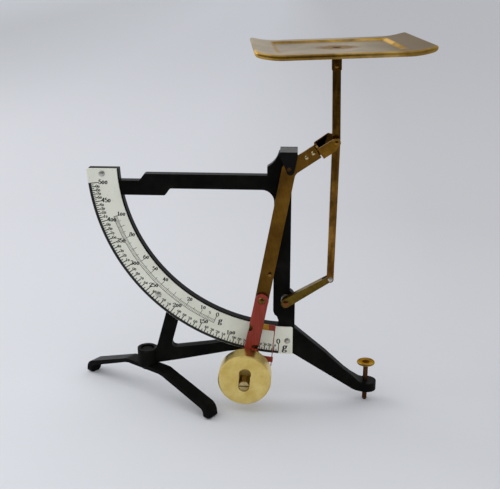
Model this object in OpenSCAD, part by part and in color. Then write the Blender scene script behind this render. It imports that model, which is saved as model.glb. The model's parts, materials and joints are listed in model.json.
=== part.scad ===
// Postal scale: a quadrant balance with a two-armed lever, a pan kept level by a
// parallel link, and a disc weight that folds up for the fine range.
// Drawn around the main pivot, then moved so that the middle of the footprint is
// the origin: X to the right, Y away from the reader, Z up. Before that move the
// face of the printed scale lies in the plane Y = 0.

/* [Quadrant] */
// Outer radius of the printed scale plate, from the main pivot
plate_r = 130; // [122:1:156]
// Width of the printed scale plate
plate_w = 19.5; // [17:0.5:21]
// Thickness of the printed scale plate
plate_t = 1; // [0.8:0.1:1.5]
// How far the plate's right end passes the main pivot
plate_past = 3.8; // [2:0.1:5]
// Drop of the plate's left end below the main pivot
plate_start = 3.5; // [0:0.5:6]
// How far the casting's rim shows inside the plate
rim_show = 0.9; // [0.6:0.1:3]
// Thickness of the frame casting
frame_t = 6; // [5:0.1:8]
// Height of the plate's lowest point above the table
under_plate = 34.2; // [30:0.1:50]

/* [Post and beam] */
// Left edge of the post, from the main pivot
post_left = 9.5; // [8:0.5:11]
// Right edge of the post, from the main pivot
post_right = 1.5; // [1:0.5:3]
// Height of the beam's bar
beam_h = 9.5; // [8:0.5:11]
// Drop of the beam's top below the main pivot
beam_drop = 6.7; // [6:0.1:8]
// How far the beam steps down on its way to the rim
beam_step = 4.6; // [3:0.1:6]
// Top of the bearing bracket above the main pivot
head_top = 10.9; // [10.5:0.1:14]
// Width of the bearing bracket
head_w = 11; // [10:0.5:13]
// Thickness of the bearing bracket's strap
bracket_t = 2.3; // [2:0.1:2.5]

/* [Feet] */
// Distance of the cross foot's pivot, left of the main pivot
foot_x = 95.8; // [90:0.1:104]
// Radius of the boss over the cross foot
foot_boss_r = 6.8; // [6:0.1:7.4]
// Height of the boss over the cross foot
foot_boss_h = 11.1; // [9:0.1:13]
// Height of the cross foot
foot_h = 23.1; // [22:0.1:28]
// Half the span of the cross foot
foot_reach = 58; // [54:1:62]
// Width of the cross foot's bar
foot_w = 9.8; // [7:0.1:11]
// Thickness of the cross foot's bar
foot_t = 2.8; // [2.4:0.1:3.4]
// Slope of the cross foot's two legs
foot_slope = 24; // [17:0.5:25]
// Turn of the cross foot from the plane of the quadrant
foot_turn = 34.5; // [0:0.5:90]
// Radius of the cross foot's pivot pin
foot_pin_r = 2.5; // [2:0.1:3]
// Distance of the levelling screw, right of the main pivot
screw_x = 53.8; // [50:0.1:65]
// Radius of the levelling screw
screw_r = 1.6; // [1.4:0.1:2]
// Radius of the boss round the levelling screw
screw_boss_r = 6.6; // [5:0.1:8]
// Height of the knob's top above the table
knob_top = 28.6; // [26:0.1:34]
// Radius of the levelling screw's knob
knob_r = 6; // [5:0.1:7]

/* [Lever] */
// Width of the long arm
lever_w = 9; // [8:0.1:9.5]
// Thickness of the lever
lever_t = 1.8; // [1.5:0.1:2.2]
// Lean of the long arm from straight down, at rest
lever_lean = 10.7; // [9:0.1:12]
// Width of the short arm
crank_w = 9; // [8:0.1:9.5]
// Distance from the main pivot to the pan rod's pivot
crank_len = 33.7; // [31:0.1:40.5]
// Angle of the pan rod's pivot above the horizontal, at rest
crank_rise = 32; // [28:0.5:34]
// Radius of the lever's axle
axle_r = 1.3; // [1.1:0.1:1.5]
// Clear space between the scale plate and the pointer's hair
scale_gap = 2.9; // [2.5:0.1:4]

/* [Yoke] */
// Depth of the yoke over its two ears
yoke_d = 16.4; // [13.5:0.1:19.7]
// Distance from the yoke's web to the rod's pin
yoke_len = 11.8; // [9:0.1:12.4]
// Slant of the yoke's web: its back lies this much nearer to the main pivot
yoke_skew = 1.8; // [0:0.1:2.4]
// Height of the yoke's web
yoke_h = 8.1; // [7:0.1:9]
// Thickness of the yoke's sheet
yoke_t = 1.2; // [1:0.1:1.5]
// Radius of the rod's pin
pin_r = 1.2; // [1:0.1:1.4]

/* [Pan rod and link] */
// Drop of the link's stud below the main pivot
link_drop = 90.4; // [84:0.1:94]
// Distance of the link's stud, left of the main pivot
link_left = 1.1; // [0:0.1:1.5]
// Width of the pan rod
rod_w = 5; // [4.5:0.1:6]
// Width of the pan rod at its lower end
rod_end_w = 4.3; // [3.8:0.1:5]
// Depth of the pan rod
rod_d = 7; // [6.4:0.1:8.4]
// Thickness of the sheet of the rod and the link
rod_t = 0.8; // [0.6:0.1:1]
// Lean of the rod's upper part to the left
rod_bend = 1.4; // [0:0.1:2]
// Distance from the rod's pivot up to the pan
pan_rise = 55.1; // [50:0.1:66.8]
// Length of the sleeve that joins the rod to the pan
sleeve_len = 12; // [10:0.1:16]
// Radius of the lower link's round end
link_eye_r = 3; // [2.6:0.1:3.4]
// Width of the lower link at the rod
link_w = 3.8; // [3.8:0.1:4.8]

/* [Pan] */
// Width of the pan
pan_w = 101; // [90:1:120]
// Depth of the pan
pan_d = 95; // [80:1:114]
// Thickness of the pan's sheet
pan_t = 1.0; // [0.9:0.1:1.3]
// Height of the pan's rolled edge
pan_lip = 3.2; // [2.4:0.1:4]
// Rise of the pan's left and right ends
pan_curl = 2.6; // [0.5:0.1:4]
// Depth of the pan's sunk middle
pan_sink = 1.4; // [1.2:0.1:3]
// Turn of the pan on its stem
pan_turn = 5.2; // [0:0.1:8]
// Lean of the pan, right side up
pan_lean = 1.8; // [0:0.1:3]

/* [Weight] */
// Distance of the fold screw inside the plate's outer edge
fold_in = 39.7; // [36:0.1:44]
// Distance from the fold screw to the middle of the disc
disc_out = 53; // [52:0.1:56]
// Radius of the disc
disc_r = 17.6; // [16:0.1:18]
// Thickness of the disc
disc_t = 12.3; // [11:0.1:15]
// Width of the weight's arm
arm_w = 9; // [8:0.1:9.5]
// Thickness of the weight's arm
arm_t = 1.6; // [1.4:0.1:2]
// Lean of the weight's arm from the long arm, at rest
arm_kick = 0.9; // [0.5:0.1:1]
// Radius of the fold screw's shank
fold_pin_r = 1.6; // [1.4:0.1:1.8]

/* [Fits] */
// Radial clearance of a turning pin in its hole
run_fit = 0.05; // [0.03:0.01:0.1]
// Clearance between parts that move past each other
side_gap = 0.3; // [0.25:0.05:0.5]
// Thickness of the washer under the weight's arm
washer_t = 0.5; // [0.4:0.1:0.8]

/* [Hidden] */
$fn = 64;

// Place of the main pivot over the middle of the footprint
pivot_h = plate_r + under_plate;
pivot_x = 33.12;
pivot_y = 5.3;

// Depths along Y, from the plate's face back and towards the reader
frame_front = plate_t;
frame_back = plate_t + frame_t;
frame_mid = (frame_front + frame_back) / 2;
hair_r = 0.3;
hair_y = -scale_gap - hair_r;
pointer_t = 0.9;
pointer_back = hair_y - hair_r - 0.02;
pointer_front = pointer_back - pointer_t;
lever_back = pointer_front;
lever_front = lever_back - lever_t;
arm_back = lever_front - washer_t;
arm_front = arm_back - arm_t;
disc_front = arm_front - disc_t;
ear_t = 2.3;
ear_back = arm_front + 0.2;
ear_front = ear_back - ear_t;
rod_y = (lever_front + lever_back) / 2;
rod_front = rod_y - rod_d / 2;
rod_back = rod_y + rod_d / 2;
yoke_front = rod_y - yoke_d / 2;
yoke_back = rod_y + yoke_d / 2;
link_front = rod_front + rod_t + side_gap;
link_back = rod_back - rod_t - side_gap;

// Radii of the quadrant
plate_in = plate_r - plate_w;
rim_in = plate_in - rim_show;
rim_out = plate_r - 0.8;
fold_r = plate_r - fold_in;

// Angles and pivots in the X, Z plane
function mix(a, b, t) = a + (b - a) * t;
function polar(r, a) = [r * cos(a), r * sin(a)];
down = -90 - lever_lean;
arm_down = down - arm_kick;
crank_slope = crank_rise + 2.5;
stud_b = [-link_left, -link_drop];
pin_a = polar(crank_len, crank_rise);
rivet_c = stud_b + pin_a;
fold_f = polar(fold_r, down);
disc_c = fold_f + polar(disc_out, arm_down);

// A point at distance r from the main pivot, a degrees left of straight down
function below(r, a) = polar(r, -90 - a);
// A point x down the long arm's centre line from the main pivot, y to its left
function on_arm(x, y) = polar(x, down) + polar(y, down - 90);
// The point where two straight edges cross, each given by its direction and by
// its distance from the main pivot, to the right of the first and under the second
function edge_cross(a0, e0, a1, e1) =
    let (n0 = polar(1, a0 + 90), n1 = polar(1, a1 - 90), det = n0[0] * n1[1] - n0[1] * n1[0])
    [(e0 * n1[1] - e1 * n0[1]) / det, (n0[0] * e1 - n1[0] * e0) / det];
// A smooth step from p to q, level at both ends
function s_curve(p, q, n = 8) =
    [for (i = [0:n]) let (t = i / n) [mix(p[0], q[0], t), mix(p[1], q[1], t * t * (3 - 2 * t))]];
// Points along an arc from angle a0 to angle a1
function arc(c, r, a0, a1, n = 10) = [for (i = [0:n]) c + polar(r, mix(a0, a1, i / n))];

// A flat outline drawn in X, Z, with its depth from y0 to y1
module slab(y0, y1) {
    translate([0, y1, 0]) rotate([90, 0, 0]) linear_extrude(y1 - y0) children();
}
// A round bar along Y through p
module bar_y(p, r, y0, y1) {
    slab(y0, y1) translate(p) circle(r);
}
// A domed head towards the reader, standing on the plane y
module head_front(p, r, h, y) {
    ball = (r * r + h * h) / (2 * h);
    intersection() {
        translate([p[0], y - h + ball, p[1]]) sphere(ball);
        bar_y(p, r, y - h - 0.5, y);
    }
}
// A domed head away from the reader, standing on the plane y
module head_back(p, r, h, y) {
    ball = (r * r + h * h) / (2 * h);
    intersection() {
        translate([p[0], y + h - ball, p[1]]) sphere(ball);
        bar_y(p, r, y, y + h + 0.5);
    }
}
// The filled inner corner at p between edges that leave it at angles a0 < a1. The
// arc is a little larger than the fillet, so that it crosses both edges cleanly.
module inner_corner(p, a0, a1, r) {
    half = (a1 - a0) / 2;
    mid = p + polar(r / sin(half), a0 + half);
    run = r / tan(half);
    difference() {
        polygon([p - polar(0.4, a0 + half), p + polar(run, a0) + polar(0.3, a0 - 90), mid,
                 p + polar(run, a1) + polar(0.3, a1 + 90)]);
        translate(mid) circle(r + 0.02);
    }
}
// Lines up with an arm that leaves p at angle a: X runs along it, Y to its left side
module along(p, a) {
    translate(p) rotate(a) mirror([0, 1]) children();
}
module at_pivot() {
    translate([pivot_x, pivot_y, pivot_h]) children();
}

// Frame casting
foot_boss_z = foot_h - pivot_h + side_gap;
foot_boss_top = foot_boss_z + foot_boss_h;
screw_boss_z = 8.2 - pivot_h;
screw_boss_h = 6;
screw_boss_x = screw_x + 0.8;
lug_r = 6;
post_foot_x = stud_b[0] + lug_r;

module rim_shape() {
    intersection() {
        difference() {
            circle(rim_out, $fn = 180);
            circle(rim_in, $fn = 180);
        }
        translate([-rim_out - 1, -rim_out - 1]) square([rim_out + 2, rim_out + 1 - plate_start]);
    }
}
module beam_shape() {
    top = -beam_drop;
    bottom = top - beam_h;
    rim_x = -rim_in - 3;
    polygon(concat(
        [[rim_x, top - beam_step]],
        s_curve([-rim_in + 12.6, top - beam_step], [-rim_in + 17.3, top]),
        [[-post_left + 2, top], [-post_left + 2, bottom]],
        s_curve([-rim_in + 33.7, bottom], [-rim_in + 29.1, bottom - beam_step]),
        [[rim_x, bottom - beam_step]]));
    inner_corner([-post_left, bottom], -180, -90, 8);
}
module post_shape() {
    notch_x = -post_left + 3.5;
    polygon(concat(
        [[-post_left, -beam_drop], [post_right, -beam_drop], [post_right, stud_b[1]],
         [post_foot_x, stud_b[1]], [post_foot_x, -rim_in - 4], [notch_x, -rim_in - 4]],
        s_curve([notch_x, -rim_in + 4], [notch_x - 1.2, -rim_in + 6.6], 4),
        s_curve([notch_x - 2.4, -rim_in + 7.4], [-post_left, -rim_in + 10], 4)));
    translate(stud_b) circle(lug_r);
}
module head_shape() {
    top = head_top - bracket_t;
    right = head_w / 2 - 0.5;
    gusset_r = 14.3;
    gusset_x = -post_left - 4.6;
    difference() {
        polygon([[gusset_x, top], [right, top], [right, top - 5], [post_right, top - 11],
                 [post_right, -beam_drop - 1], [gusset_x, -beam_drop - 1]]);
        translate([right - head_w - 0.5 - gusset_r, top + 2.9]) circle(gusset_r);
    }
}
strut_half = 4.8;
leg_top = foot_boss_top + 1.7;
strut_top = below(rim_in + 6.7, 39.2);
strut_foot = [-foot_x + 11, foot_boss_top - 1.2];

module strut_shape() {
    slope = atan2(strut_top[1] - strut_foot[1], strut_top[0] - strut_foot[0]);
    half = [strut_half, 0];
    left = strut_foot - half + polar(1.2 / sin(slope), slope);
    right = strut_foot + half + polar((leg_top - strut_foot[1]) / sin(slope), slope);
    polygon([strut_top - half, strut_foot - half, strut_foot + half, strut_top + half]);
    inner_corner(right, 8, slope, 2.5);
    inner_corner(left, slope, 180, 3);
}
module left_leg_shape() {
    // From the boss over the cross foot to the foot of the post
    boss_end = [-foot_x + 3, foot_boss_z];
    post_end = [post_foot_x - 4, -rim_in - 4];
    polygon([boss_end, [boss_end[0], foot_boss_top - 1], [strut_foot[0] - 2, leg_top - 1],
             [-foot_x + 19.4, leg_top + 0.1], [-51, mix(leg_top, -rim_in - 8.4, 0.36)], post_end,
             [post_end[0], -rim_out], [-24, -rim_out + 2], [-40.1, mix(foot_boss_z, -rim_out, 0.96)],
             [-59.4, mix(foot_boss_z, -rim_out, 0.61)], [-73.1, mix(foot_boss_z, -rim_out, 0.36)],
             [-foot_x + 8, foot_boss_z + 1.4], [-foot_x + foot_boss_r - 0.5, foot_boss_z]]);
}
module right_leg_shape() {
    // From the foot of the post to the boss of the levelling screw
    boss_top = screw_boss_z + screw_boss_h;
    top_start = [post_foot_x, -rim_in - 1.6];
    top_end = [screw_x - 7.3, boss_top + 3.3];
    low_start = [plate_past + 0.3, -rim_out - 0.9];
    low_end = [screw_x - 9.4, screw_boss_z + 0.9];
    polygon([[-5, -rim_in - 2], top_start, mix(top_start, top_end, 0.5) + [0.2, 0.2],
             mix(top_start, top_end, 0.82) - [0.2, 0.5], top_end, [screw_x - 4.4, boss_top + 1],
             [screw_x - 2, boss_top], [screw_boss_x, boss_top], [screw_boss_x, screw_boss_z],
             [screw_x - 2.1, screw_boss_z], [screw_x - 6.5, screw_boss_z + 0.1],
             low_end, mix(low_start, low_end, 0.5), low_start, [-5, -rim_out + 0.2]]);
}
// The leg widens towards the boss of the levelling screw, seen from above
module screw_flare() {
    flank = polar(screw_boss_r, 108);
    intersection() {
        slab(frame_mid - screw_boss_r, frame_mid + screw_boss_r) right_leg_shape();
        translate([screw_boss_x, frame_mid, screw_boss_z]) linear_extrude(screw_boss_h + 6)
            polygon([[-11, -frame_t / 2], [-11, frame_t / 2], flank, [0, 0], [flank[0], -flank[1]]]);
    }
}
module frame_casting() {
    color("#15161a") difference() {
        union() {
            screw_flare();
            slab(frame_front, frame_back) {
                rim_shape();
                beam_shape();
                post_shape();
                head_shape();
                strut_shape();
                left_leg_shape();
                right_leg_shape();
            }
            translate([-foot_x, frame_mid, foot_boss_z]) cylinder(r = foot_boss_r, h = foot_boss_h);
            translate([screw_boss_x, frame_mid, screw_boss_z]) cylinder(r = screw_boss_r, h = screw_boss_h);
        }
        bar_y([0, 0], bush_r, frame_front - 1, frame_back + 1);
        bar_y(stud_b, stud_r, frame_front - 1, frame_back + 1);
        translate([-foot_x, frame_mid, foot_boss_z - 1])
            cylinder(r = foot_pin_r + run_fit, h = foot_boss_h + 2);
        translate([-foot_x, frame_mid, foot_boss_top - foot_well]) cylinder(r = foot_well_r, h = foot_well + 1);
        translate([screw_x, frame_mid, screw_boss_z - 1]) cylinder(r = screw_r + run_fit, h = screw_boss_h + 2);
        for (p = plate_rivet_at) bar_y(p, plate_rivet_r, frame_front - 1, frame_back + 1);
        for (x = bracket_screw_x) translate([x, frame_mid, head_top - bracket_t - bracket_screw_len])
            cylinder(r = bracket_screw_r, h = bracket_screw_len + 1);
    }
}

// Bearing bracket: a strap on the post that turns down in front of the lever
bracket_screw_r = 1;
bracket_screw_head = 2;
bracket_screw_len = 5;
bracket_screw_x = [-3.2, 2.2];
ear_tip = [0.8, -1.2];
ear_tip_r = 2.5;
bush_r = axle_r + 0.9;
bush_len = 4;

module bearing_bracket() {
    base = head_top - bracket_t;
    right = head_w / 2 - 0.5;
    color("#1b1c20") difference() {
        union() {
            slab(ear_front, frame_back) translate([right - head_w, base]) square([head_w, bracket_t]);
            slab(ear_front, ear_back) {
                polygon([[right - head_w - 0.4, head_top - 0.7], [right + 0.3, head_top - 1.5],
                         ear_tip + [ear_tip_r, 0], ear_tip - [ear_tip_r, 0]]);
                translate(ear_tip) circle(ear_tip_r);
            }
        }
        bar_y([0, 0], axle_r + run_fit, ear_front - 1, ear_back + 1);
        for (x = bracket_screw_x) translate([x, frame_mid, 0]) {
            translate([0, 0, base - 1]) cylinder(r = bracket_screw_r, h = bracket_t + 2);
            translate([0, 0, head_top - 1]) cylinder(r = bracket_screw_head, h = 2);
        }
    }
}
module bracket_screws() {
    base = head_top - bracket_t - bracket_screw_len;
    color("#3a3b3f") for (x = bracket_screw_x) translate([x, frame_mid, 0]) difference() {
        union() {
            translate([0, 0, base]) cylinder(r = bracket_screw_r, h = head_top - base - 0.5);
            translate([0, 0, head_top - 1]) cylinder(r = bracket_screw_head, h = 0.9);
        }
        translate([-3, -0.25, head_top - 0.6]) cube([6, 0.5, 1]);
    }
}
module bearing_bush() {
    color("#a98645") difference() {
        bar_y([0, 0], bush_r, frame_front, frame_front + bush_len);
        bar_y([0, 0], axle_r + run_fit, frame_front - 1, frame_back + 1);
    }
}

// Printed scale plate, held to the rim by three rivets
plate_rivet_r = 1;
plate_rivet_head = 2.1;
plate_rivet_at = [below(plate_r - 9.6, 86.8), below(plate_r - 6.2, 44.1), below(plate_r - 9.4, -0.1)];

module plate_shape() {
    corner = 1.2;
    intersection() {
        difference() {
            circle(plate_r, $fn = 240);
            circle(plate_in, $fn = 240);
        }
        union() {
            translate([-plate_r - 1, -plate_r - 1])
                square([plate_r + 1 + plate_past - corner, plate_r + 1 - plate_start]);
            translate([-1, -plate_r - 1]) square([plate_past + 1, plate_w - corner]);
            translate([plate_past - corner, -plate_in - corner]) circle(corner);
        }
    }
}
module scale_plate() {
    color("#dfe0d6") difference() {
        slab(0, plate_t) plate_shape();
        for (p = plate_rivet_at) bar_y(p, plate_rivet_r, -1, plate_t + 1);
    }
}
module scale_plate_rivets() {
    color("#c9c9c2") for (p = plate_rivet_at) {
        head_front(p, plate_rivet_head, 0.9, 0);
        bar_y(p, plate_rivet_r, 0, frame_back);
    }
}

// Fixed stud of the lower link, with its collar
stud_r = 1.5;
collar_r = 3.2;
stud_head_r = 2.1;

module link_collar() {
    color("#b9bcc0") difference() {
        bar_y(stud_b, collar_r, link_back + side_gap, frame_front);
        bar_y(stud_b, stud_r, link_back - 1, frame_front + 1);
    }
}
module link_stud() {
    head_y = link_front - side_gap / 2;
    color("#8a5a34") difference() {
        union() {
            bar_y(stud_b, stud_r, head_y, frame_back);
            head_front(stud_b, stud_head_r, 0.8, head_y);
        }
        slab(head_y - 2, head_y - 0.5) translate(stud_b) rotate(25) square([6, 0.5], center = true);
    }
}

// Cross foot: a bent bar that swivels under the frame casting
foot_flat = 17;
foot_knee = foot_reach - 9;
foot_well = 2.6;
foot_well_r = 4.6;
toe_r = 3;

module foot_shape() {
    knee_z = -(foot_knee - foot_flat) * tan(foot_slope);
    bend_r = 7;
    bend = [foot_reach - bend_r, knee_z - bend_r + 1.6];
    half = concat(
        [[foot_flat - 2, 0], [foot_flat, -0.2], [foot_flat + 2, -2.2 * tan(foot_slope)]],
        arc(bend, bend_r, 90 - foot_slope, 0, 8),
        [[foot_reach + 0.6, -foot_h + 1.4], [foot_reach - 0.4, -foot_h], [foot_reach - foot_t - 1, -foot_h],
         [foot_reach - foot_t - 1.3, -foot_h + 4]],
        arc(bend - [0.7, 0], bend_r - foot_t - 0.5, 10, 90 - foot_slope, 4),
        [[foot_flat + 0.8, -foot_t - 1.6 * tan(foot_slope)], [foot_flat - 2.5, -foot_t]]);
    polygon(concat(half, [for (i = [len(half) - 1:-1:0]) [-half[i][0], half[i][1]]]));
}
// The foot seen from its end, with the lower corners of the toes rounded
function foot_end() = concat([[foot_w / 2, 1], [-foot_w / 2, 1]],
    arc([-foot_w / 2 + toe_r, -foot_h + toe_r], toe_r, 180, 270, 6),
    arc([foot_w / 2 - toe_r, -foot_h + toe_r], toe_r, 270, 360, 6));
module at_foot() {
    translate([-foot_x, frame_mid, foot_h - pivot_h]) rotate([0, 0, -foot_turn]) children();
}
module cross_foot() {
    color("#17181b") at_foot() difference() {
        intersection() {
            slab(-foot_w / 2, foot_w / 2) foot_shape();
            rotate([90, 0, 90]) translate([0, 0, -foot_reach - 2]) linear_extrude(2 * foot_reach + 4)
                polygon(foot_end());
        }
        translate([0, 0, -foot_t - 1]) cylinder(r = foot_pin_r, h = foot_t + 2);
    }
}
module foot_pivot_pin() {
    top = foot_boss_h + side_gap - foot_well + 0.3 + foot_washer_t;
    color("#3b3c40") at_foot() {
        translate([0, 0, -foot_t - 0.9]) cylinder(r = foot_pin_r + 1.5, h = 0.9);
        translate([0, 0, -foot_t]) cylinder(r = foot_pin_r, h = top + foot_t);
        translate([0, 0, top]) cylinder(r = foot_pin_r + 0.9, h = 0.7);
    }
}
foot_washer_t = 0.8;
module foot_washer() {
    z = foot_boss_h + side_gap - foot_well + 0.3;
    color("#2c2d30") at_foot() translate([0, 0, z]) difference() {
        cylinder(r = foot_well_r - 0.4, h = foot_washer_t);
        translate([0, 0, -1]) cylinder(r = foot_pin_r, h = foot_washer_t + 2);
    }
}

// Levelling screw and its knob
knob_t = 1.9;
knob_seat_r = 2.5;
thread_pitch = 0.8;

module levelling_screw() {
    knob_z = knob_top - knob_t;
    color("#6b5238") translate([screw_x, frame_mid, -pivot_h]) difference() {
        union() {
            cylinder(r1 = screw_r - 0.5, r2 = screw_r, h = 0.8);
            translate([0, 0, 0.8]) cylinder(r = screw_r, h = knob_z - 0.8);
            translate([0, 0, knob_z]) cylinder(r = knob_seat_r, h = knob_t - 0.5);
        }
        for (i = [0:9]) translate([0, 0, 1.6 + i * thread_pitch]) rotate_extrude()
            polygon([[screw_r - 0.25, 0.2], [screw_r + 0.1, 0], [screw_r + 0.1, 0.4]]);
    }
}
module levelling_knob() {
    color("#b08b45") translate([screw_x, frame_mid, knob_top - knob_t - pivot_h]) difference() {
        rotate_extrude() polygon(concat(
            [[0, 0], [knob_r - 1.2, 0]],
            arc([knob_r - 0.9, 0.9], 0.9, -70, 70, 8),
            [[knob_r - 1.4, knob_t], [knob_seat_r + 0.6, knob_t - 0.4], [0, knob_t - 0.4]]));
        translate([0, 0, -1]) cylinder(r = knob_seat_r, h = knob_t + 2);
    }
}

// Lever: the long arm, the short arm and the round corner between them
lever_end = plate_r - 3;
lever_top = 1.6;
crank_low = 0.9;
crank_end = crank_len * cos(crank_slope - crank_rise) - yoke_len - 1.6;
elbow_r = 5;
window_r = 2.4;
hub_r = 3.6;
stop_r = 1;
rest_pin = [33.4, -0.9];
fold_stop = [-18.5, -1.7];

module lever_shape() {
    circle(crank_w / 2 - crank_low + 0.1);
    along([0, 0], down) {
        translate([lever_top, 0]) circle(lever_w / 2);
        translate([lever_top, -lever_w / 2]) square([lever_end - lever_w / 2 - lever_top, lever_w]);
        translate([lever_end - lever_w / 2, 0]) circle(lever_w / 2);
    }
    rotate(crank_slope) translate([0, -crank_low - crank_w / 2]) square([crank_end, crank_w]);
    inner_corner(edge_cross(down, lever_w / 2, crank_slope, crank_low + crank_w / 2), down, crank_slope, elbow_r);
}
// The points of the long arm that carry pins, from the fold screw
module at_stops() {
    along(fold_f, down) {
        translate(rest_pin) children();
        translate(fold_stop) children();
    }
}
module main_lever() {
    color("#7d6233") difference() {
        slab(lever_front, lever_back) lever_shape();
        bar_y([0, 0], axle_r, lever_front - 1, lever_back + 1);
        bar_y(fold_f, fold_pin_r, lever_front - 1, lever_back + 1);
        for (p = yoke_rivet_at) bar_y(p, yoke_rivet_r, lever_front - 1, lever_back + 1);
        for (p = pointer_rivet_at) bar_y(p, pointer_rivet_r, lever_front - 1, lever_back + 1);
        slab(lever_front - 1, lever_back + 1) at_stops() circle(stop_r);
    }
}
module lever_hub() {
    color("#8f7440") difference() {
        bar_y([0, 0], hub_r, lever_back, frame_front - side_gap);
        bar_y([0, 0], axle_r, lever_back - 1, frame_front + 1);
    }
}
module lever_axle() {
    color("#8d9094") bar_y([0, 0], axle_r, ear_front + 0.2, frame_front + bush_len + 0.5);
}

// Yoke that carries the pan rod's pin, riveted behind the short arm
yoke_rivet_r = 0.9;
yoke_rivet_at = [for (x = [9.2, 4.2]) pin_a + polar(yoke_len + x, crank_slope + 180) + polar(1.1, crank_slope + 90)];
yoke_tab_len = 11.4;
yoke_tab_w = 7.4;

module along_yoke() {
    translate(pin_a) rotate(crank_slope) children();
}
// One ear: its length to the web, its height at the web above the arm's line, and
// the height at which its upper edge still is above the pin
module yoke_ear_shape(len, top, end_top) {
    along_yoke() {
        polygon([[-len, top], [-len, -yoke_h / 2], [-len * 0.3, -yoke_h / 2],
                 [0.9, -2.4], [2, -1.4], [2, 1.5], [0.6, 2.4], [-2.3, end_top],
                 [-len + 1, mix(top, end_top, 0.9)]]);
        circle(2.6);
    }
}
module yoke() {
    color("#8a6a34") difference() {
        union() {
            slab(yoke_front, yoke_front + yoke_t) yoke_ear_shape(yoke_len, yoke_h / 2, 3);
            slab(yoke_back - yoke_t, yoke_back) yoke_ear_shape(yoke_len + yoke_skew, yoke_h / 2, 5.4);
            translate([pin_a[0], 0, pin_a[1]]) rotate([0, -crank_slope, 0]) translate([0, 0, -yoke_h / 2])
                linear_extrude(yoke_h)
                    polygon([[-yoke_len, yoke_front], [yoke_t - yoke_len, yoke_front],
                             [yoke_t - yoke_len - yoke_skew, yoke_back], [-yoke_len - yoke_skew, yoke_back]]);
            slab(lever_back, lever_back + yoke_t) along_yoke()
                translate([-yoke_len - yoke_tab_len, 1.1 - yoke_tab_w / 2]) square([yoke_tab_len + 0.4, yoke_tab_w]);
        }
        bar_y(pin_a, pin_r, yoke_front - 1, yoke_back + 1);
        for (p = yoke_rivet_at) bar_y(p, yoke_rivet_r, lever_back - 1, lever_back + yoke_t + 1);
    }
}
module yoke_rivets() {
    color("#b3955a") for (p = yoke_rivet_at) {
        bar_y(p, yoke_rivet_r, lever_front, lever_back + yoke_t);
        head_front(p, 1.4, 0.9, lever_front);
        head_back(p, 1.4, 0.6, lever_back + yoke_t);
    }
}
module rod_pin() {
    color("#5e4a38") {
        bar_y(pin_a, pin_r, yoke_front, yoke_back);
        head_front(pin_a, pin_r, 0.3, yoke_front);
        head_back(pin_a, pin_r, 0.3, yoke_back);
    }
}
module rod_spacers() {
    color("#8f7440") difference() {
        union() {
            bar_y(pin_a, 2.1, yoke_front + yoke_t, rod_front - side_gap);
            bar_y(pin_a, 2.1, rod_back + side_gap, yoke_back - yoke_t);
        }
        bar_y(pin_a, pin_r, yoke_front, yoke_back);
    }
}

// Pointer: a C behind the long arm. Its upper bar ends in the index of the inner
// scale, and the hair of the outer scale joins its two right ends.
bar_in = plate_in - 2.6;
bar_out = plate_in + 1.4;
foot_bar_in = plate_r + 1.2;
foot_bar_out = plate_r + 4.9;
hair_lean = 4.4;
index_lead = 1.47;
spine_left = 1.2;
spine_right = -3.8;
pointer_rivet_r = 0.8;
pointer_rivet_at = [on_arm(bar_in - 4.5, -1.3), on_arm(plate_r - 9, -1.3)];
window_at = on_arm(bar_out - 0.7, lever_w / 2 - 0.1);

// The direction from the main pivot to the spine's edge y, at radius r
function edge_angle(r, y) = down - asin(y / r);
module pointer_shape() {
    hair_a = -90 - hair_lean + 0.4;
    fillet_r = 6;
    fillet_at = foot_bar_in - fillet_r;
    fillet_y = spine_right - fillet_r;
    fillet_a = edge_angle(fillet_at, fillet_y);
    polygon(concat(
        arc([0, 0], bar_in, hair_a, edge_angle(bar_in, spine_right), 6),
        [on_arm(bar_in - 8, spine_right), on_arm(bar_in - 8, spine_left), on_arm(bar_in + 0.8, spine_left),
         below(bar_out - 0.4, lever_lean + index_lead), on_arm(bar_out + 0.4, spine_left)],
        arc([0, 0], foot_bar_out, edge_angle(foot_bar_out, spine_left), hair_a, 6),
        arc([0, 0], foot_bar_in, hair_a, fillet_a, 4),
        arc(polar(fillet_at, fillet_a), fillet_r, fillet_a - 12, down - 90, 6),
        arc([0, 0], bar_out, edge_angle(bar_out, spine_right), hair_a, 6)));
}
module pointer_frame() {
    color("#8a3029") difference() {
        slab(pointer_front, pointer_back) pointer_shape();
        for (p = pointer_rivet_at) bar_y(p, pointer_rivet_r, pointer_front - 1, pointer_back + 1);
    }
}
module pointer_rivets() {
    color("#8f7440") for (p = pointer_rivet_at) {
        bar_y(p, pointer_rivet_r, lever_front, pointer_back);
        head_back(p, 1.4, 0.5, pointer_back);
    }
}
module pointer_hair() {
    top = below(bar_in + 1.2, hair_lean - 0.25);
    tip = below(foot_bar_out + 3.2, hair_lean);
    run = tip - top;
    color("#7a2f28") translate([top[0], hair_y, top[1]]) rotate([0, atan2(run[0], run[1]), 0])
        cylinder(r = hair_r, h = norm(run), $fn = 24);
}

// Fold joint of the weight's arm, and the two pins that stop it
fold_head_r = 2.4;
fold_nut_t = 1.9;

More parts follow.
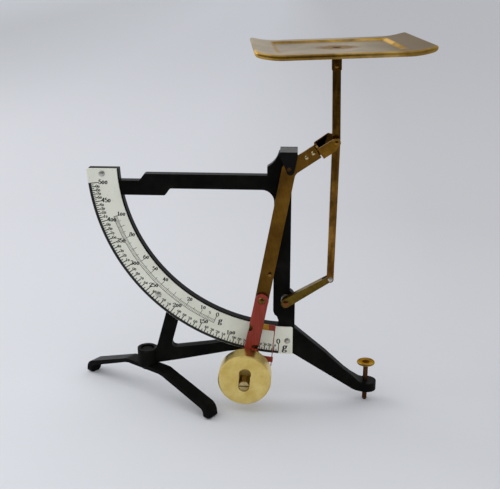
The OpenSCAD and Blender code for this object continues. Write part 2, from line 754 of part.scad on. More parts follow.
module fold_screw() {
    head_y = arm_front - side_gap / 2;
    color("#b59a57") difference() {
        union() {
            bar_y(fold_f, fold_pin_r, head_y, lever_back + fold_nut_t + 0.3);
            head_front(fold_f, fold_head_r, 1.3, head_y);
        }
        slab(head_y - 3, head_y - 0.8) translate(fold_f) rotate(-50) square([8, 0.7], center = true);
    }
}
module fold_washer() {
    color("#a98645") difference() {
        bar_y(fold_f, 3.4, lever_front - washer_t + 0.2, lever_front);
        bar_y(fold_f, fold_pin_r, arm_back - 1, lever_front + 1);
    }
}
module fold_nut() {
    color("#8f7440") difference() {
        slab(lever_back, lever_back + fold_nut_t) translate(fold_f) circle(3.2, $fn = 6);
        bar_y(fold_f, fold_pin_r, lever_back - 1, lever_back + 3);
    }
}
module fold_stop_pin() {
    color("#c8b58a") slab(arm_front + 0.1, lever_back) along(fold_f, down) translate(fold_stop) circle(stop_r);
}
module rest_stop_pin() {
    color("#c07a4e") slab(arm_front + 0.1, lever_back) along(fold_f, down) translate(rest_pin) circle(stop_r);
}

// Weight: arm, slotted disc, stud and nut
arm_end = disc_out + 9;
slot_w = 7.3;
slot_head_w = 8.2;
slot_len = 16.1;
slot_deep = disc_t - 2.4;
slot_turn = -4.5;
disc_edge = 0.8;
stud_head = 3.35;
bolt_r = 1.7;
stud_at = disc_c + polar((slot_len - slot_w) / 2, -90 + slot_turn);
rest_pin_c = fold_f + polar(rest_pin[0], down) + polar(rest_pin[1], down - 90);

module weight_arm_shape() {
    pin_play = stop_r + 0.15;
    difference() {
        along(fold_f, arm_down) {
            circle(arm_w / 2 + 0.1);
            translate([0, -arm_w / 2]) square([arm_end, arm_w]);
            translate([arm_end, 0]) circle(arm_w / 2);
        }
        // Notch at the left edge, in which the brass of the lever shows
        translate(window_at) circle(window_r);
        // Notch that rests against the lower pin, open to the right
        translate(rest_pin_c) circle(pin_play);
        translate(rest_pin_c) rotate(-lever_lean) polygon([[0, -pin_play], [8, -2.8], [8, 2.8], [0, pin_play]]);
    }
}
module weight_arm() {
    color("#7a2d25") difference() {
        slab(arm_front, arm_back) weight_arm_shape();
        bar_y(fold_f, fold_pin_r + run_fit, arm_front - 1, arm_back + 1);
        bar_y(stud_at, bolt_r, arm_front - 1, arm_back + 1);
    }
}
module slot_shape() {
    translate(disc_c) rotate(slot_turn) {
        square([slot_w, slot_len - slot_w], center = true);
        translate([0, (slot_len - slot_w) / 2]) circle(slot_head_w / 2);
        translate([0, -(slot_len - slot_w) / 2]) circle(slot_w / 2);
    }
}
module disc_weight() {
    color("#b39a52") difference() {
        translate([disc_c[0], arm_front, disc_c[1]]) rotate([90, 0, 0]) rotate_extrude($fn = 128)
            polygon([[0, 0], [disc_r - disc_edge / 2, 0], [disc_r, disc_edge / 2], [disc_r, disc_t - disc_edge],
                     [disc_r - disc_edge, disc_t], [0, disc_t]]);
        slab(disc_front - 1, disc_front + slot_deep) slot_shape();
        bar_y(stud_at, bolt_r, disc_front - 1, arm_front + 1);
    }
}
module weight_stud() {
    color("#a9a294") difference() {
        union() {
            bar_y(stud_at, stud_head, disc_front + 0.5, disc_front + slot_deep);
            bar_y(stud_at, bolt_r, disc_front + slot_deep, arm_back + weight_nut_t + 0.3);
        }
        slab(disc_front - 1, disc_front + 1.5) translate(stud_at) rotate(-3) square([8, 0.9], center = true);
    }
}
weight_nut_t = 1.9;
module weight_nut() {
    color("#8f7440") difference() {
        slab(arm_back, arm_back + weight_nut_t) translate(stud_at) circle(3.4, $fn = 6);
        bar_y(stud_at, bolt_r, arm_back - 1, arm_back + weight_nut_t + 1);
    }
}

// Pan rod: a channel with its web on the left, cut away below for the link
rod_lean = atan2(link_left, link_drop);
rod_top = pan_rise - 0.9;

// Lower part of the rod: origin at the pivot in the yoke, Y towards the lower link
module along_lower_rod() {
    translate(pin_a) rotate(180 - rod_lean) children();
}
// Upper part: origin at the pivot in the yoke, Y towards the pan
module along_stem() {
    translate(pin_a) rotate(rod_bend) children();
}
web_start = 8;
rod_len = norm(stud_b);

module rod_flange_shape() {
    along_lower_rod() {
        polygon([[-rod_w / 2, 0], [rod_w / 2, 0], [rod_end_w / 2, rod_len], [-rod_end_w / 2, rod_len]]);
        translate([0, rod_len]) circle(rod_end_w / 2);
    }
    translate(pin_a) circle(rod_w / 2);
    along_stem() translate([-rod_w / 2, 0]) square([rod_w, rod_top]);
}
module rod_web_shape() {
    end = rod_len - web_start;
    edge = mix(rod_w, rod_end_w, end / rod_len) / 2;
    along_lower_rod() polygon([[rod_w / 2 - rod_t, 0], [rod_w / 2, 0], [edge, end], [edge - rod_t, end]]);
    along_stem() translate([-rod_w / 2, 0]) square([rod_t, rod_top]);
}
module load_rod() {
    color("#7a5a2c") difference() {
        union() {
            slab(rod_front, rod_front + rod_t) rod_flange_shape();
            slab(rod_back - rod_t, rod_back) rod_flange_shape();
            slab(rod_front, rod_back) rod_web_shape();
        }
        bar_y(pin_a, pin_r + run_fit, rod_front - 1, rod_back + 1);
        bar_y(rivet_c, rod_rivet_r, rod_front - 1, rod_back + 1);
        bar_y(stem_rivet_at, stem_rivet_r, rod_front - 1, rod_back + 1);
    }
}
rod_rivet_r = 1;
module rod_rivet() {
    color("#b7b2a4") {
        bar_y(rivet_c, rod_rivet_r, rod_front, rod_back);
        head_front(rivet_c, 1.5, 0.5, rod_front);
        head_back(rivet_c, 1.5, 0.5, rod_back);
    }
}

// Pan stem: a sleeve round the rod's top, with a small bearer under the pan
stem_rivet_r = 0.8;
sleeve_t = 0.4;
bearer_w = 14;
bearer_d = 12;
bearer_t = 1;
stem_rivet_at = pin_a + polar(pan_rise - sleeve_len + 2.4, 90 + rod_bend);
pan_foot = pin_a + polar(pan_rise, 90 + rod_bend);

module pan_stem() {
    seat = 0.05;
    color("#6f4f26") difference() {
        union() {
            slab(rod_front - sleeve_t - seat, rod_back + sleeve_t + seat) along_stem()
                translate([-rod_w / 2 - sleeve_t - seat, pan_rise - sleeve_len])
                    square([rod_w + 2 * (sleeve_t + seat), sleeve_len - bearer_t / 2]);
            at_pan() translate([-bearer_w / 2, -bearer_d / 2, -bearer_t]) cube([bearer_w, bearer_d, bearer_t]);
        }
        slab(rod_front - seat, rod_back + seat) along_stem()
            translate([-rod_w / 2 - seat, pan_rise - sleeve_len - 1])
                square([rod_w + 2 * seat, sleeve_len - bearer_t + 0.2 + 1 - 0.1]);
        bar_y(stem_rivet_at, stem_rivet_r, rod_front - 2, rod_back + 2);
        at_pan() translate([0, 0, -bearer_t - 1]) cylinder(r = pan_rivet_r, h = bearer_t + 2);
    }
}
module stem_rivet() {
    color("#a88c55") {
        bar_y(stem_rivet_at, stem_rivet_r, rod_front - sleeve_t - 0.05, rod_back + sleeve_t + 0.05);
        head_front(stem_rivet_at, 1.3, 0.4, rod_front - sleeve_t - 0.05);
        head_back(stem_rivet_at, 1.3, 0.4, rod_back + sleeve_t + 0.05);
    }
}

// Pan: a sunk tray with a rolled edge, its left and right ends curled up
pan_flat = 34;
pan_corner = 4;
pan_lip_t = 1.8;
tray_w = 74;
tray_d = 72;
tray_shift = 1;
tray_r = 4;
pan_rivet_r = 1.4;
pan_rivet_head_r = 2.4;
pan_rivet_sink = 0.55;

module at_pan() {
    translate([pan_foot[0], rod_y, pan_foot[1]]) rotate([0, -pan_lean, pan_turn]) children();
}
// Height of the curled sheet at x
function curl(x) = pan_curl * pow(max(0, abs(x) - pan_flat) / (pan_w / 2 - pan_flat), 2);
// The pan's cross-section from height z0 to z1 above the sheet's own curve
module curled(z0, z1) {
    step = (pan_w / 2 - pan_flat) / 8;
    xs = concat([for (i = [0:8]) -pan_w / 2 + i * step], [for (i = [0:8]) pan_flat + i * step]);
    slab(-pan_d / 2 - 1, pan_d / 2 + 1) polygon(concat([for (x = xs) [x, z0 + curl(x)]],
        [for (i = [len(xs) - 1:-1:0]) [xs[i], z1 + curl(xs[i])]]));
}
module round_rect(w, d, r) {
    square([w - 2 * r, d], center = true);
    square([w, d - 2 * r], center = true);
    for (x = [-1, 1], y = [-1, 1]) translate([x * (w / 2 - r), y * (d / 2 - r)]) circle(r);
}
module tray_outline(grow) {
    translate([-tray_shift, 0]) round_rect(tray_w + 2 * grow, tray_d + 2 * grow, tray_r + grow);
}
module pan() {
    sheet_z = pan_sink;
    color("#8d7048") at_pan() difference() {
        union() {
            intersection() {
                curled(sheet_z, sheet_z + pan_t);
                linear_extrude(20) difference() {
                    round_rect(pan_w, pan_d, pan_corner);
                    tray_outline(0);
                }
            }
            intersection() {
                curled(sheet_z + pan_t - pan_lip, sheet_z + pan_t);
                translate([0, 0, -5]) linear_extrude(25) difference() {
                    round_rect(pan_w, pan_d, pan_corner);
                    round_rect(pan_w - 2 * pan_lip_t, pan_d - 2 * pan_lip_t, pan_corner - pan_lip_t);
                }
            }
            linear_extrude(pan_t) tray_outline(pan_t);
            linear_extrude(sheet_z + pan_t) difference() {
                tray_outline(pan_t);
                tray_outline(0);
            }
        }
        translate([0, 0, -1]) cylinder(r = pan_rivet_r, h = pan_t + 2);
        translate([0, 0, pan_t - pan_rivet_sink]) cylinder(r = pan_rivet_head_r + 0.2, h = 1);
    }
}
module pan_rivet() {
    color("#9a7b45") at_pan() {
        translate([0, 0, -bearer_t]) cylinder(r = pan_rivet_r, h = bearer_t + pan_t - pan_rivet_sink);
        translate([0, 0, pan_t - pan_rivet_sink]) cylinder(r = pan_rivet_head_r, h = pan_rivet_sink - 0.05);
    }
}

// Lower link: a channel with its web on top, between the fixed stud and the rod.
// Its hole at the rod is wide, because this is where the parallel linkage is open.
link_slack = 0.3;
link_len = crank_len;

module link_outline() {
    along_link() {
        circle(link_eye_r);
        translate([link_len, 0]) circle(link_w / 2);
        polygon([[0, link_eye_r], [link_len, link_w / 2], [link_len, -link_w / 2], [0, -link_eye_r]]);
    }
}
module along_link() {
    translate(stud_b) rotate(crank_rise) children();
}
module lower_link() {
    color("#7d6430") difference() {
        union() {
            slab(link_front, link_front + rod_t) link_outline();
            slab(link_back - rod_t, link_back) link_outline();
            slab(link_front, link_back) along_link() polygon([[3, link_eye_r - 0.1], [link_len - 5, link_w / 2 + 0.12],
                [link_len - 5, link_w / 2 + 0.12 - rod_t], [3, link_eye_r - 0.1 - rod_t]]);
        }
        bar_y(stud_b, stud_r + run_fit, link_front - 1, link_back + 1);
        bar_y(rivet_c, rod_rivet_r + link_slack, link_front - 1, link_back + 1);
    }
}

at_pivot() frame_casting();
at_pivot() bearing_bracket();
at_pivot() bracket_screws();
at_pivot() bearing_bush();
at_pivot() scale_plate();
at_pivot() scale_plate_rivets();
at_pivot() link_collar();
at_pivot() link_stud();
at_pivot() cross_foot();
at_pivot() foot_pivot_pin();
at_pivot() foot_washer();
at_pivot() levelling_screw();
at_pivot() levelling_knob();
at_pivot() main_lever();
at_pivot() lever_hub();
at_pivot() lever_axle();
at_pivot() yoke();
at_pivot() yoke_rivets();
at_pivot() rod_pin();
at_pivot() rod_spacers();
at_pivot() pointer_frame();
at_pivot() pointer_rivets();
at_pivot() pointer_hair();
at_pivot() fold_screw();
at_pivot() fold_washer();
at_pivot() fold_nut();
at_pivot() fold_stop_pin();
at_pivot() rest_stop_pin();
at_pivot() weight_arm();
at_pivot() disc_weight();
at_pivot() weight_stud();
at_pivot() weight_nut();
at_pivot() load_rod();
at_pivot() rod_rivet();
at_pivot() pan_stem();
at_pivot() stem_rivet();
at_pivot() pan();
at_pivot() pan_rivet();
at_pivot() lower_link();
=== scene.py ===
"""Looks of a postal scale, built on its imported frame.

The frame casting, levers and weight keep their modelled shape, with their edges broken
as on the real ones. The pan is one closed sheet in place of the modelled pan, and the
printed scale lies on the plate as thin ink.
Row frame: X to the right, Y away from the reader, Z up, in metres.
"""

import json
import math

import bmesh
import bpy
import numpy as np
from mathutils import Matrix, Vector

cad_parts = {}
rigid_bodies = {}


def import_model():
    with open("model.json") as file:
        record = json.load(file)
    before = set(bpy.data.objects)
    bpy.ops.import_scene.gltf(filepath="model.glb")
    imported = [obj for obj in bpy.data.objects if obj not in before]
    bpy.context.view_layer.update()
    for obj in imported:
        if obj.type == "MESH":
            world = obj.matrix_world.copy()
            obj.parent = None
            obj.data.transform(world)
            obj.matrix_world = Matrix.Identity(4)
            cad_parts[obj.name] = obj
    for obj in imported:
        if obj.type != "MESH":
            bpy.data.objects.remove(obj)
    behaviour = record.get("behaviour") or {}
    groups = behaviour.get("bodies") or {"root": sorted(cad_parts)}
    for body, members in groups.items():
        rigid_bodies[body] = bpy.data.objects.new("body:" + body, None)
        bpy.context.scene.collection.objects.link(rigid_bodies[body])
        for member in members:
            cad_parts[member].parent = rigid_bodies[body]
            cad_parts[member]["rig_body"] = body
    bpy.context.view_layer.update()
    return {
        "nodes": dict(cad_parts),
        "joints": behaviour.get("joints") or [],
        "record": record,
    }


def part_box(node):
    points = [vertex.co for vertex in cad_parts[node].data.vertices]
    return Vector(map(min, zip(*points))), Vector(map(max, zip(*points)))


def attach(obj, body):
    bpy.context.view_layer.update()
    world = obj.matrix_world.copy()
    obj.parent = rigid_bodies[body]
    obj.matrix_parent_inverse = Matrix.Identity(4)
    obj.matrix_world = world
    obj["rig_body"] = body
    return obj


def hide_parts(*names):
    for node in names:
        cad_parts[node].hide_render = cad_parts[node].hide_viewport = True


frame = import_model()
nodes = frame["nodes"]
MM = 0.001


def middle_of(box):
    """The middle of a box, given by its lowest and highest corner."""
    return (box[0] + box[1]) / 2


# Places, in metres. The main pivot is the hinge of the lever, and the face of the
# scale plate is the front of the node that carries the print.
joints = {j["name"]: j for j in frame["joints"]}
PIVOT = Vector(joints["load_swing"]["pos_m"])
FOLD = Vector(joints["weight_fold"]["pos_m"])
pan_floor = next(m for m in frame["record"]["mounts"] if m["name"] == "pan_floor")
PLATE_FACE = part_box("scale_plate")[0].y
DISC = middle_of(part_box("disc_weight"))


# Materials. The Scale of a pattern is how many of its spots or lines there are in a
# metre.

# A colour Mix node's sockets: the share of the upper colour, the colour under, the
# colour over, and the mixed colour
SHARE, UNDER, OVER, MIXED = 0, 6, 7, 2
# A Math node's inputs: it multiplies the first two, and adds the last
FIRST, SECOND, PLUS = 0, 1, 2


def paint(code):
    """An sRGB hex colour as the linear colour that Blender's sockets take."""
    parts = [int(code[i:i + 2], 16) / 255 for i in (1, 3, 5)]
    linear = [c / 12.92 if c <= 0.04045 else ((c + 0.055) / 1.055) ** 2.4 for c in parts]
    return (*linear, 1.0)


def add(tree, kind, inputs=None, stops=None, out=0, **settings):
    """Adds one node with its settings, and gives its output named or numbered `out`. An
    input is a value, or the socket it is linked to. stops are a colour ramp's places
    with their hex colours or grey values."""
    made = tree.nodes.new(kind)
    for key, value in settings.items():
        setattr(made, key, value)
    for key, value in (inputs or {}).items():
        if isinstance(value, bpy.types.NodeSocket):
            tree.links.new(value, made.inputs[key])
        else:
            made.inputs[key].default_value = value
    if stops:
        while len(made.color_ramp.elements) < len(stops):
            made.color_ramp.elements.new(0.5)
        for element, (place, tone) in zip(made.color_ramp.elements, stops):
            element.position = place
            element.color = paint(tone) if isinstance(tone, str) else (tone, tone, tone, 1.0)
    return made.outputs[out]


def finish_of(name, **values):
    """A new material with the given constants on its main shader: the material, its
    tree, that shader, and object coordinates."""
    material = bpy.data.materials.new(name)
    material.use_nodes = True
    tree = material.node_tree
    shader = tree.nodes["Principled BSDF"]
    for key, value in values.items():
        shader.inputs[key.replace("_", " ")].default_value = value
    return material, tree, shader, add(tree, "ShaderNodeTexCoord", out="Object")


def feed(tree, shader, **sockets):
    """Links sockets to the main shader's inputs."""
    for key, socket in sockets.items():
        tree.links.new(socket, shader.inputs[key.replace("_", " ")])


def stove_enamel(name, level):
    """Black stove enamel on iron, level being how much it shines. It is nearly black, and
    the sand's grain pulls its skin into soft hollows 2 to 3 mm wide."""
    material, tree, shader, place = finish_of(name, Metallic=0.0, IOR=1.5,
                                              Specular_IOR_Level=level)
    tone = add(tree, "ShaderNodeTexNoise", {"Vector": place, "Scale": 90.0, "Detail": 4.0,
                                            "Roughness": 0.6})
    skin = add(tree, "ShaderNodeTexNoise", {"Vector": place, "Scale": 420.0, "Detail": 3.0,
                                            "Roughness": 0.55})
    dust = add(tree, "ShaderNodeTexNoise", {"Vector": place, "Scale": 2600.0, "Detail": 2.0})
    colour = add(tree, "ShaderNodeValToRGB", {"Fac": tone},
                 [(0.35, "#0B0B0A"), (0.62, "#121210"), (0.8, "#1D1B18")])
    gloss = add(tree, "ShaderNodeMapRange", {"Value": skin, "To Min": 0.24, "To Max": 0.42})
    fine = add(tree, "ShaderNodeBump", {"Height": dust, "Strength": 0.06,
                                        "Distance": 0.04 * MM})
    bump = add(tree, "ShaderNodeBump", {"Height": skin, "Strength": 0.22,
                                        "Distance": 0.2 * MM, "Normal": fine})
    feed(tree, shader, Base_Color=colour, Roughness=gloss, Normal=bump)
    return material


def plate_enamel():
    """Off-white enamel on sheet steel. It is smooth and cool in tone, slightly yellowed
    and dusty in patches 10 to 20 mm wide, with pinprick specks."""
    material, tree, shader, place = finish_of("off_white_plate_enamel", Metallic=0.0, IOR=1.5,
                                              Specular_IOR_Level=0.4)
    patch = add(tree, "ShaderNodeTexNoise", {"Vector": place, "Scale": 45.0, "Detail": 5.0,
                                             "Roughness": 0.55})
    speck = add(tree, "ShaderNodeTexNoise", {"Vector": place, "Scale": 1100.0, "Detail": 2.0,
                                             "Roughness": 0.5})
    ground = add(tree, "ShaderNodeValToRGB", {"Fac": patch},
                 [(0.3, "#D3D4C5"), (0.52, "#DEDFD1"), (0.75, "#E4E5DA")])
    dots = add(tree, "ShaderNodeValToRGB", {"Fac": speck}, [(0.69, 0.0), (0.76, 1.0)])
    colour = add(tree, "ShaderNodeMix", {SHARE: dots, UNDER: ground, OVER: paint("#A29F92")},
                 out=MIXED, data_type="RGBA")
    gloss = add(tree, "ShaderNodeMapRange", {"Value": patch, "To Min": 0.3, "To Max": 0.46})
    bump = add(tree, "ShaderNodeBump", {"Height": patch, "Strength": 0.08,
                                        "Distance": 0.3 * MM})
    feed(tree, shader, Base_Color=colour, Roughness=gloss, Normal=bump)
    return material


def printing_ink():
    """Black printing ink fired on enamel. It is matt, a little worn and thinner in
    spots about 1 mm wide."""
    material, tree, shader, place = finish_of("black_printing_ink", Metallic=0.0)
    wear = add(tree, "ShaderNodeTexNoise", {"Vector": place, "Scale": 900.0, "Detail": 3.0,
                                            "Roughness": 0.6})
    colour = add(tree, "ShaderNodeValToRGB", {"Fac": wear},
                 [(0.5, "#0C0C0B"), (0.72, "#20201D"), (0.85, "#4A4A44")])
    gloss = add(tree, "ShaderNodeMapRange", {"Value": wear, "To Min": 0.45, "To Max": 0.7})
    feed(tree, shader, Base_Color=colour, Roughness=gloss)
    return material


def sheet_brass(name, dark, middle, light, rough, turn=0.0, grain=1.0, painted_shade=0.0,
                fine=2400.0):
    """Rolled sheet brass, aged in air. Patches of tarnish about 17 mm wide lie over fine
    rolling lines that run along the piece; turn is the piece's angle from the vertical,
    in radians, and grain is how strong the lines are. There are `fine` lines in a metre,
    0.4 mm apart or more, because real ones are too fine to show. The last share given is
    how far the metal is darkened to brown, as painted shade, 85 mm below the main pivot;
    it sets in 15 mm below."""
    material, tree, shader, place = finish_of(name, Metallic=1.0)
    along = add(tree, "ShaderNodeMapping",
                {"Vector": place, "Rotation": (0.0, turn, 0.0),
                 "Scale": (1 / fine, 1 / fine, 1 / 90)}, vector_type="TEXTURE")
    lines = add(tree, "ShaderNodeTexNoise", {"Vector": along, "Scale": 1.0, "Detail": 2.0})
    cloud = add(tree, "ShaderNodeTexNoise", {"Vector": place, "Scale": 60.0, "Detail": 6.0,
                                             "Roughness": 0.62})
    spots = add(tree, "ShaderNodeTexNoise", {"Vector": place, "Scale": 700.0, "Detail": 3.0,
                                             "Roughness": 0.6})
    faded = add(tree, "ShaderNodeMath", {FIRST: cloud, SECOND: 0.8}, operation="MULTIPLY")
    tarnish = add(tree, "ShaderNodeMath", {FIRST: lines, SECOND: 0.22 * grain, PLUS: faded},
                  operation="MULTIPLY_ADD")
    colour = add(tree, "ShaderNodeValToRGB", {"Fac": tarnish},
                 [(0.36, dark), (0.52, middle), (0.68, light)])
    pits = add(tree, "ShaderNodeValToRGB", {"Fac": spots}, [(0.64, 0.0), (0.74, 0.55)])
    tint = add(tree, "ShaderNodeMix", {SHARE: pits, UNDER: colour, OVER: paint(dark)},
               out=MIXED, data_type="RGBA")
    # Painted shade: below the main pivot the brass darkens towards brown #2E1E08, as if in shade
    # towards the fold of the weight arm
    height = add(tree, "ShaderNodeSeparateXYZ", {"Vector": place}, out="Z")
    down = add(tree, "ShaderNodeMapRange", {"Value": height, "From Min": PIVOT.z - 15 * MM,
                                            "From Max": PIVOT.z - 85 * MM, "To Max": painted_shade})
    painted_shade_tint = add(tree, "ShaderNodeMix", {SHARE: down, UNDER: tint, OVER: paint("#2E1E08")},
               out=MIXED, data_type="RGBA")
    gloss = add(tree, "ShaderNodeMapRange", {"Value": tarnish, "From Min": 0.35,
                                             "From Max": 0.75, "To Min": rough + 0.12,
                                             "To Max": rough})
    bump = add(tree, "ShaderNodeBump", {"Height": lines, "Strength": 0.12 * grain,
                                        "Distance": 0.06 * MM})
    feed(tree, shader, Base_Color=painted_shade_tint, Roughness=gloss, Normal=bump)
    return material


def turned_brass(name, centre, axis_turn, dark, light, rough, edge="#FFFFFF"):
    """Turned solid brass, polished and handled. Tool rings run round the axis through
    centre, 1.7 mm apart, coarser than real ones so that they show; on a piece away from
    centre they are gentle arcs. edge tints what the metal mirrors at a grazing look."""
    material, tree, shader, place = finish_of(name, Metallic=1.0, Specular_Tint=paint(edge))
    lathe = add(tree, "ShaderNodeMapping",
                {"Vector": place, "Location": centre, "Rotation": axis_turn},
                vector_type="TEXTURE")
    rings = add(tree, "ShaderNodeTexWave",
                {"Vector": lathe, "Scale": 180.0, "Distortion": 0.6, "Detail": 2.0,
                 "Detail Scale": 3.0}, out="Fac", wave_type="RINGS", rings_direction="Z")
    cloud = add(tree, "ShaderNodeTexNoise", {"Vector": place, "Scale": 110.0, "Detail": 6.0,
                                             "Roughness": 0.6})
    marks = add(tree, "ShaderNodeTexNoise", {"Vector": place, "Scale": 900.0, "Detail": 3.0,
                                             "Roughness": 0.65})
    colour = add(tree, "ShaderNodeValToRGB", {"Fac": cloud}, [(0.34, dark), (0.66, light)])
    pits = add(tree, "ShaderNodeValToRGB", {"Fac": marks}, [(0.63, 0.0), (0.75, 0.5)])
    tint = add(tree, "ShaderNodeMix", {SHARE: pits, UNDER: colour, OVER: paint("#6E5524")},
               out=MIXED, data_type="RGBA")
    gloss = add(tree, "ShaderNodeMapRange", {"Value": cloud, "From Min": 0.3, "From Max": 0.7,
                                             "To Min": rough + 0.1, "To Max": rough})
    bump = add(tree, "ShaderNodeBump", {"Height": rings, "Strength": 0.1,
                                        "Distance": 0.05 * MM})
    feed(tree, shader, Base_Color=tint, Roughness=gloss, Normal=bump)
    return material


def red_lacquer():
    """Dark red lacquer brushed on steel strip. It is half gloss, with brush streaks 1 mm
    wide down the arm and small chips where brown metal shows."""
    material, tree, shader, place = finish_of("dark_red_lacquer", Metallic=0.0, IOR=1.5,
                                              Specular_IOR_Level=0.25)
    streak = add(tree, "ShaderNodeMapping", {"Vector": place,
                                             "Scale": (1 / 900, 1 / 900, 1 / 70)},
                 vector_type="TEXTURE")
    brush = add(tree, "ShaderNodeTexNoise", {"Vector": streak, "Scale": 1.0, "Detail": 3.0})
    flake = add(tree, "ShaderNodeTexNoise", {"Vector": place, "Scale": 520.0, "Detail": 4.0,
                                             "Roughness": 0.7})
    ground = add(tree, "ShaderNodeValToRGB", {"Fac": brush},
                 [(0.3, "#74291B"), (0.55, "#882F20"), (0.75, "#963A2A")])
    chips = add(tree, "ShaderNodeValToRGB", {"Fac": flake}, [(0.68, 0.0), (0.71, 0.85)])
    colour = add(tree, "ShaderNodeMix", {SHARE: chips, UNDER: ground, OVER: paint("#3C231A")},
                 out=MIXED, data_type="RGBA")
    gloss = add(tree, "ShaderNodeMapRange", {"Value": brush, "To Min": 0.3, "To Max": 0.5})
    bump = add(tree, "ShaderNodeBump", {"Height": brush, "Strength": 0.15,
                                        "Distance": 0.1 * MM})
    feed(tree, shader, Base_Color=colour, Roughness=gloss, Normal=bump)
    return material


def pan_metal(centre):
    """Sheet brass of the pan, worn dull by letters. Its top is a pinkish grey satin with
    soft clouds 10 to 30 mm wide. Rolled edges and the pressed step are golden by the
    piece's own attribute for it: partly brass rubbed bare, partly a painted highlight
    along the front of the rolled edge and the curve of the step. A brown stain about 20 mm
    wide surrounds the rivet at centre, and the right end turns browner; both are less of a
    metal."""
    material, tree, shader, place = finish_of("pan_brass_worn", Specular_IOR_Level=0.0,
                                              Specular_Tint=paint("#FBF7F0"))
    cloud = add(tree, "ShaderNodeTexNoise", {"Vector": place, "Scale": 40.0, "Detail": 6.0,
                                             "Roughness": 0.6})
    spots = add(tree, "ShaderNodeTexNoise", {"Vector": place, "Scale": 520.0, "Detail": 4.0,
                                             "Roughness": 0.65})
    rubbed_and_highlit = add(tree, "ShaderNodeAttribute", out="Fac", attribute_name="rubbed_and_highlit")
    reach = 17 * MM
    round_rivet = add(tree, "ShaderNodeMapping", {"Vector": place, "Location": centre,
                                                  "Scale": (reach, reach, reach)},
                      vector_type="TEXTURE")
    halo = add(tree, "ShaderNodeTexGradient", {"Vector": round_rivet}, out="Fac",
               gradient_type="SPHERICAL")
    ragged = add(tree, "ShaderNodeMath", {FIRST: spots, SECOND: 0.9, PLUS: halo},
                 operation="MULTIPLY_ADD")
    stain = add(tree, "ShaderNodeValToRGB", {"Fac": ragged}, [(0.6, 0.0), (0.92, 0.75)])
    satin = add(tree, "ShaderNodeValToRGB", {"Fac": cloud},
                [(0.34, "#776A52"), (0.5, "#908168"), (0.68, "#A39377")])
    # Towards the right end the pan turns browner, #5C4A2C, and less of a metal
    across = add(tree, "ShaderNodeSeparateXYZ", {"Vector": place}, out="X")
    right_end = add(tree, "ShaderNodeMapRange",
                    {"Value": across, "From Min": centre.x + 8 * MM,
                     "From Max": centre.x + 35 * MM, "To Max": 0.92})
    browned = add(tree, "ShaderNodeMix",
                  {SHARE: right_end, UNDER: satin, OVER: paint("#5C4A2C")},
                  out=MIXED, data_type="RGBA")
    gold = add(tree, "ShaderNodeValToRGB", {"Fac": cloud},
               [(0.38, "#7E5E22"), (0.5, "#A8822F"), (0.62, "#D8AE56")])
    # Golden where the piece's attribute says: brass rubbed bare, and in part a painted highlight
    # along the bead and the step
    worn_and_highlit = add(tree, "ShaderNodeMix", {SHARE: rubbed_and_highlit, UNDER: browned, OVER: gold},
               out=MIXED, data_type="RGBA")
    colour = add(tree, "ShaderNodeMix", {SHARE: stain, UNDER: worn_and_highlit, OVER: paint("#735530")},
                 out=MIXED, data_type="RGBA")
    dulled_share = add(tree, "ShaderNodeMath", {FIRST: right_end, SECOND: 0.45, PLUS: stain},
                operation="MULTIPLY_ADD")
    bare = add(tree, "ShaderNodeMapRange", {"Value": dulled_share, "To Min": 1.0, "To Max": 0.0})
    gloss = add(tree, "ShaderNodeMapRange", {"Value": rubbed_and_highlit, "To Min": 0.4, "To Max": 0.5})
    bump = add(tree, "ShaderNodeBump", {"Height": spots, "Strength": 0.08,
                                        "Distance": 0.06 * MM})
    feed(tree, shader, Base_Color=colour, Metallic=bare, Roughness=gloss, Normal=bump)
    return material


def plain_steel(name, dark, light, rough, rust, edge="#FFFFFF"):
    """Turned steel under a soft oxide, cloudy over about 4 mm. rust is the share of brown
    spots, about 1 mm wide. edge tints what the metal mirrors at a grazing look."""
    material, tree, shader, place = finish_of(name, Metallic=1.0, Specular_Tint=paint(edge))
    cloud = add(tree, "ShaderNodeTexNoise", {"Vector": place, "Scale": 240.0, "Detail": 5.0,
                                             "Roughness": 0.6})
    spots = add(tree, "ShaderNodeTexNoise", {"Vector": place, "Scale": 950.0, "Detail": 3.0,
                                             "Roughness": 0.65})
    ground = add(tree, "ShaderNodeValToRGB", {"Fac": cloud}, [(0.35, dark), (0.65, light)])
    brown = add(tree, "ShaderNodeValToRGB", {"Fac": spots},
                [(0.7 - 0.3 * rust, 0.0), (0.8, 0.9)])
    colour = add(tree, "ShaderNodeMix", {SHARE: brown, UNDER: ground, OVER: paint("#4A2E1A")},
                 out=MIXED, data_type="RGBA")
    gloss = add(tree, "ShaderNodeMapRange", {"Value": cloud, "To Min": rough,
                                             "To Max": rough + 0.2})
    bump = add(tree, "ShaderNodeBump", {"Height": spots, "Strength": 0.15,
                                        "Distance": 0.05 * MM})
    feed(tree, shader, Base_Color=colour, Roughness=gloss, Normal=bump)
    return material


# How the strips lean from the vertical, and the turns that point a lathe's axis at the
# reader or leave it upright, in radians
LEVER_TURN, YOKE_TURN, LINK_TURN = (math.radians(a) for a in (-10.7, -55.5, -59.0))
LEVEL_AXIS, UPRIGHT_AXIS = (math.radians(90), 0.0, 0.0), (0.0, 0.0, 0.0)

enamel = stove_enamel("black_stove_enamel", 0.02)
strap_enamel = stove_enamel("black_strap_enamel", 0.09)
white = plate_enamel()
ink = printing_ink()
red = red_lacquer()
lever_brass = sheet_brass("lever_brass_aged", "#65451B", "#805B20", "#946C2B", 0.32,
                          LEVER_TURN, painted_shade=0.6)
rod_brass = sheet_brass("rod_brass_aged", "#402A0E", "#66451A", "#966C2B", 0.25,
                        grain=1.7, fine=620.0)
yoke_brass = sheet_brass("yoke_brass_handled", "#82581C", "#A07426", "#BC9040", 0.28,
                         YOKE_TURN)
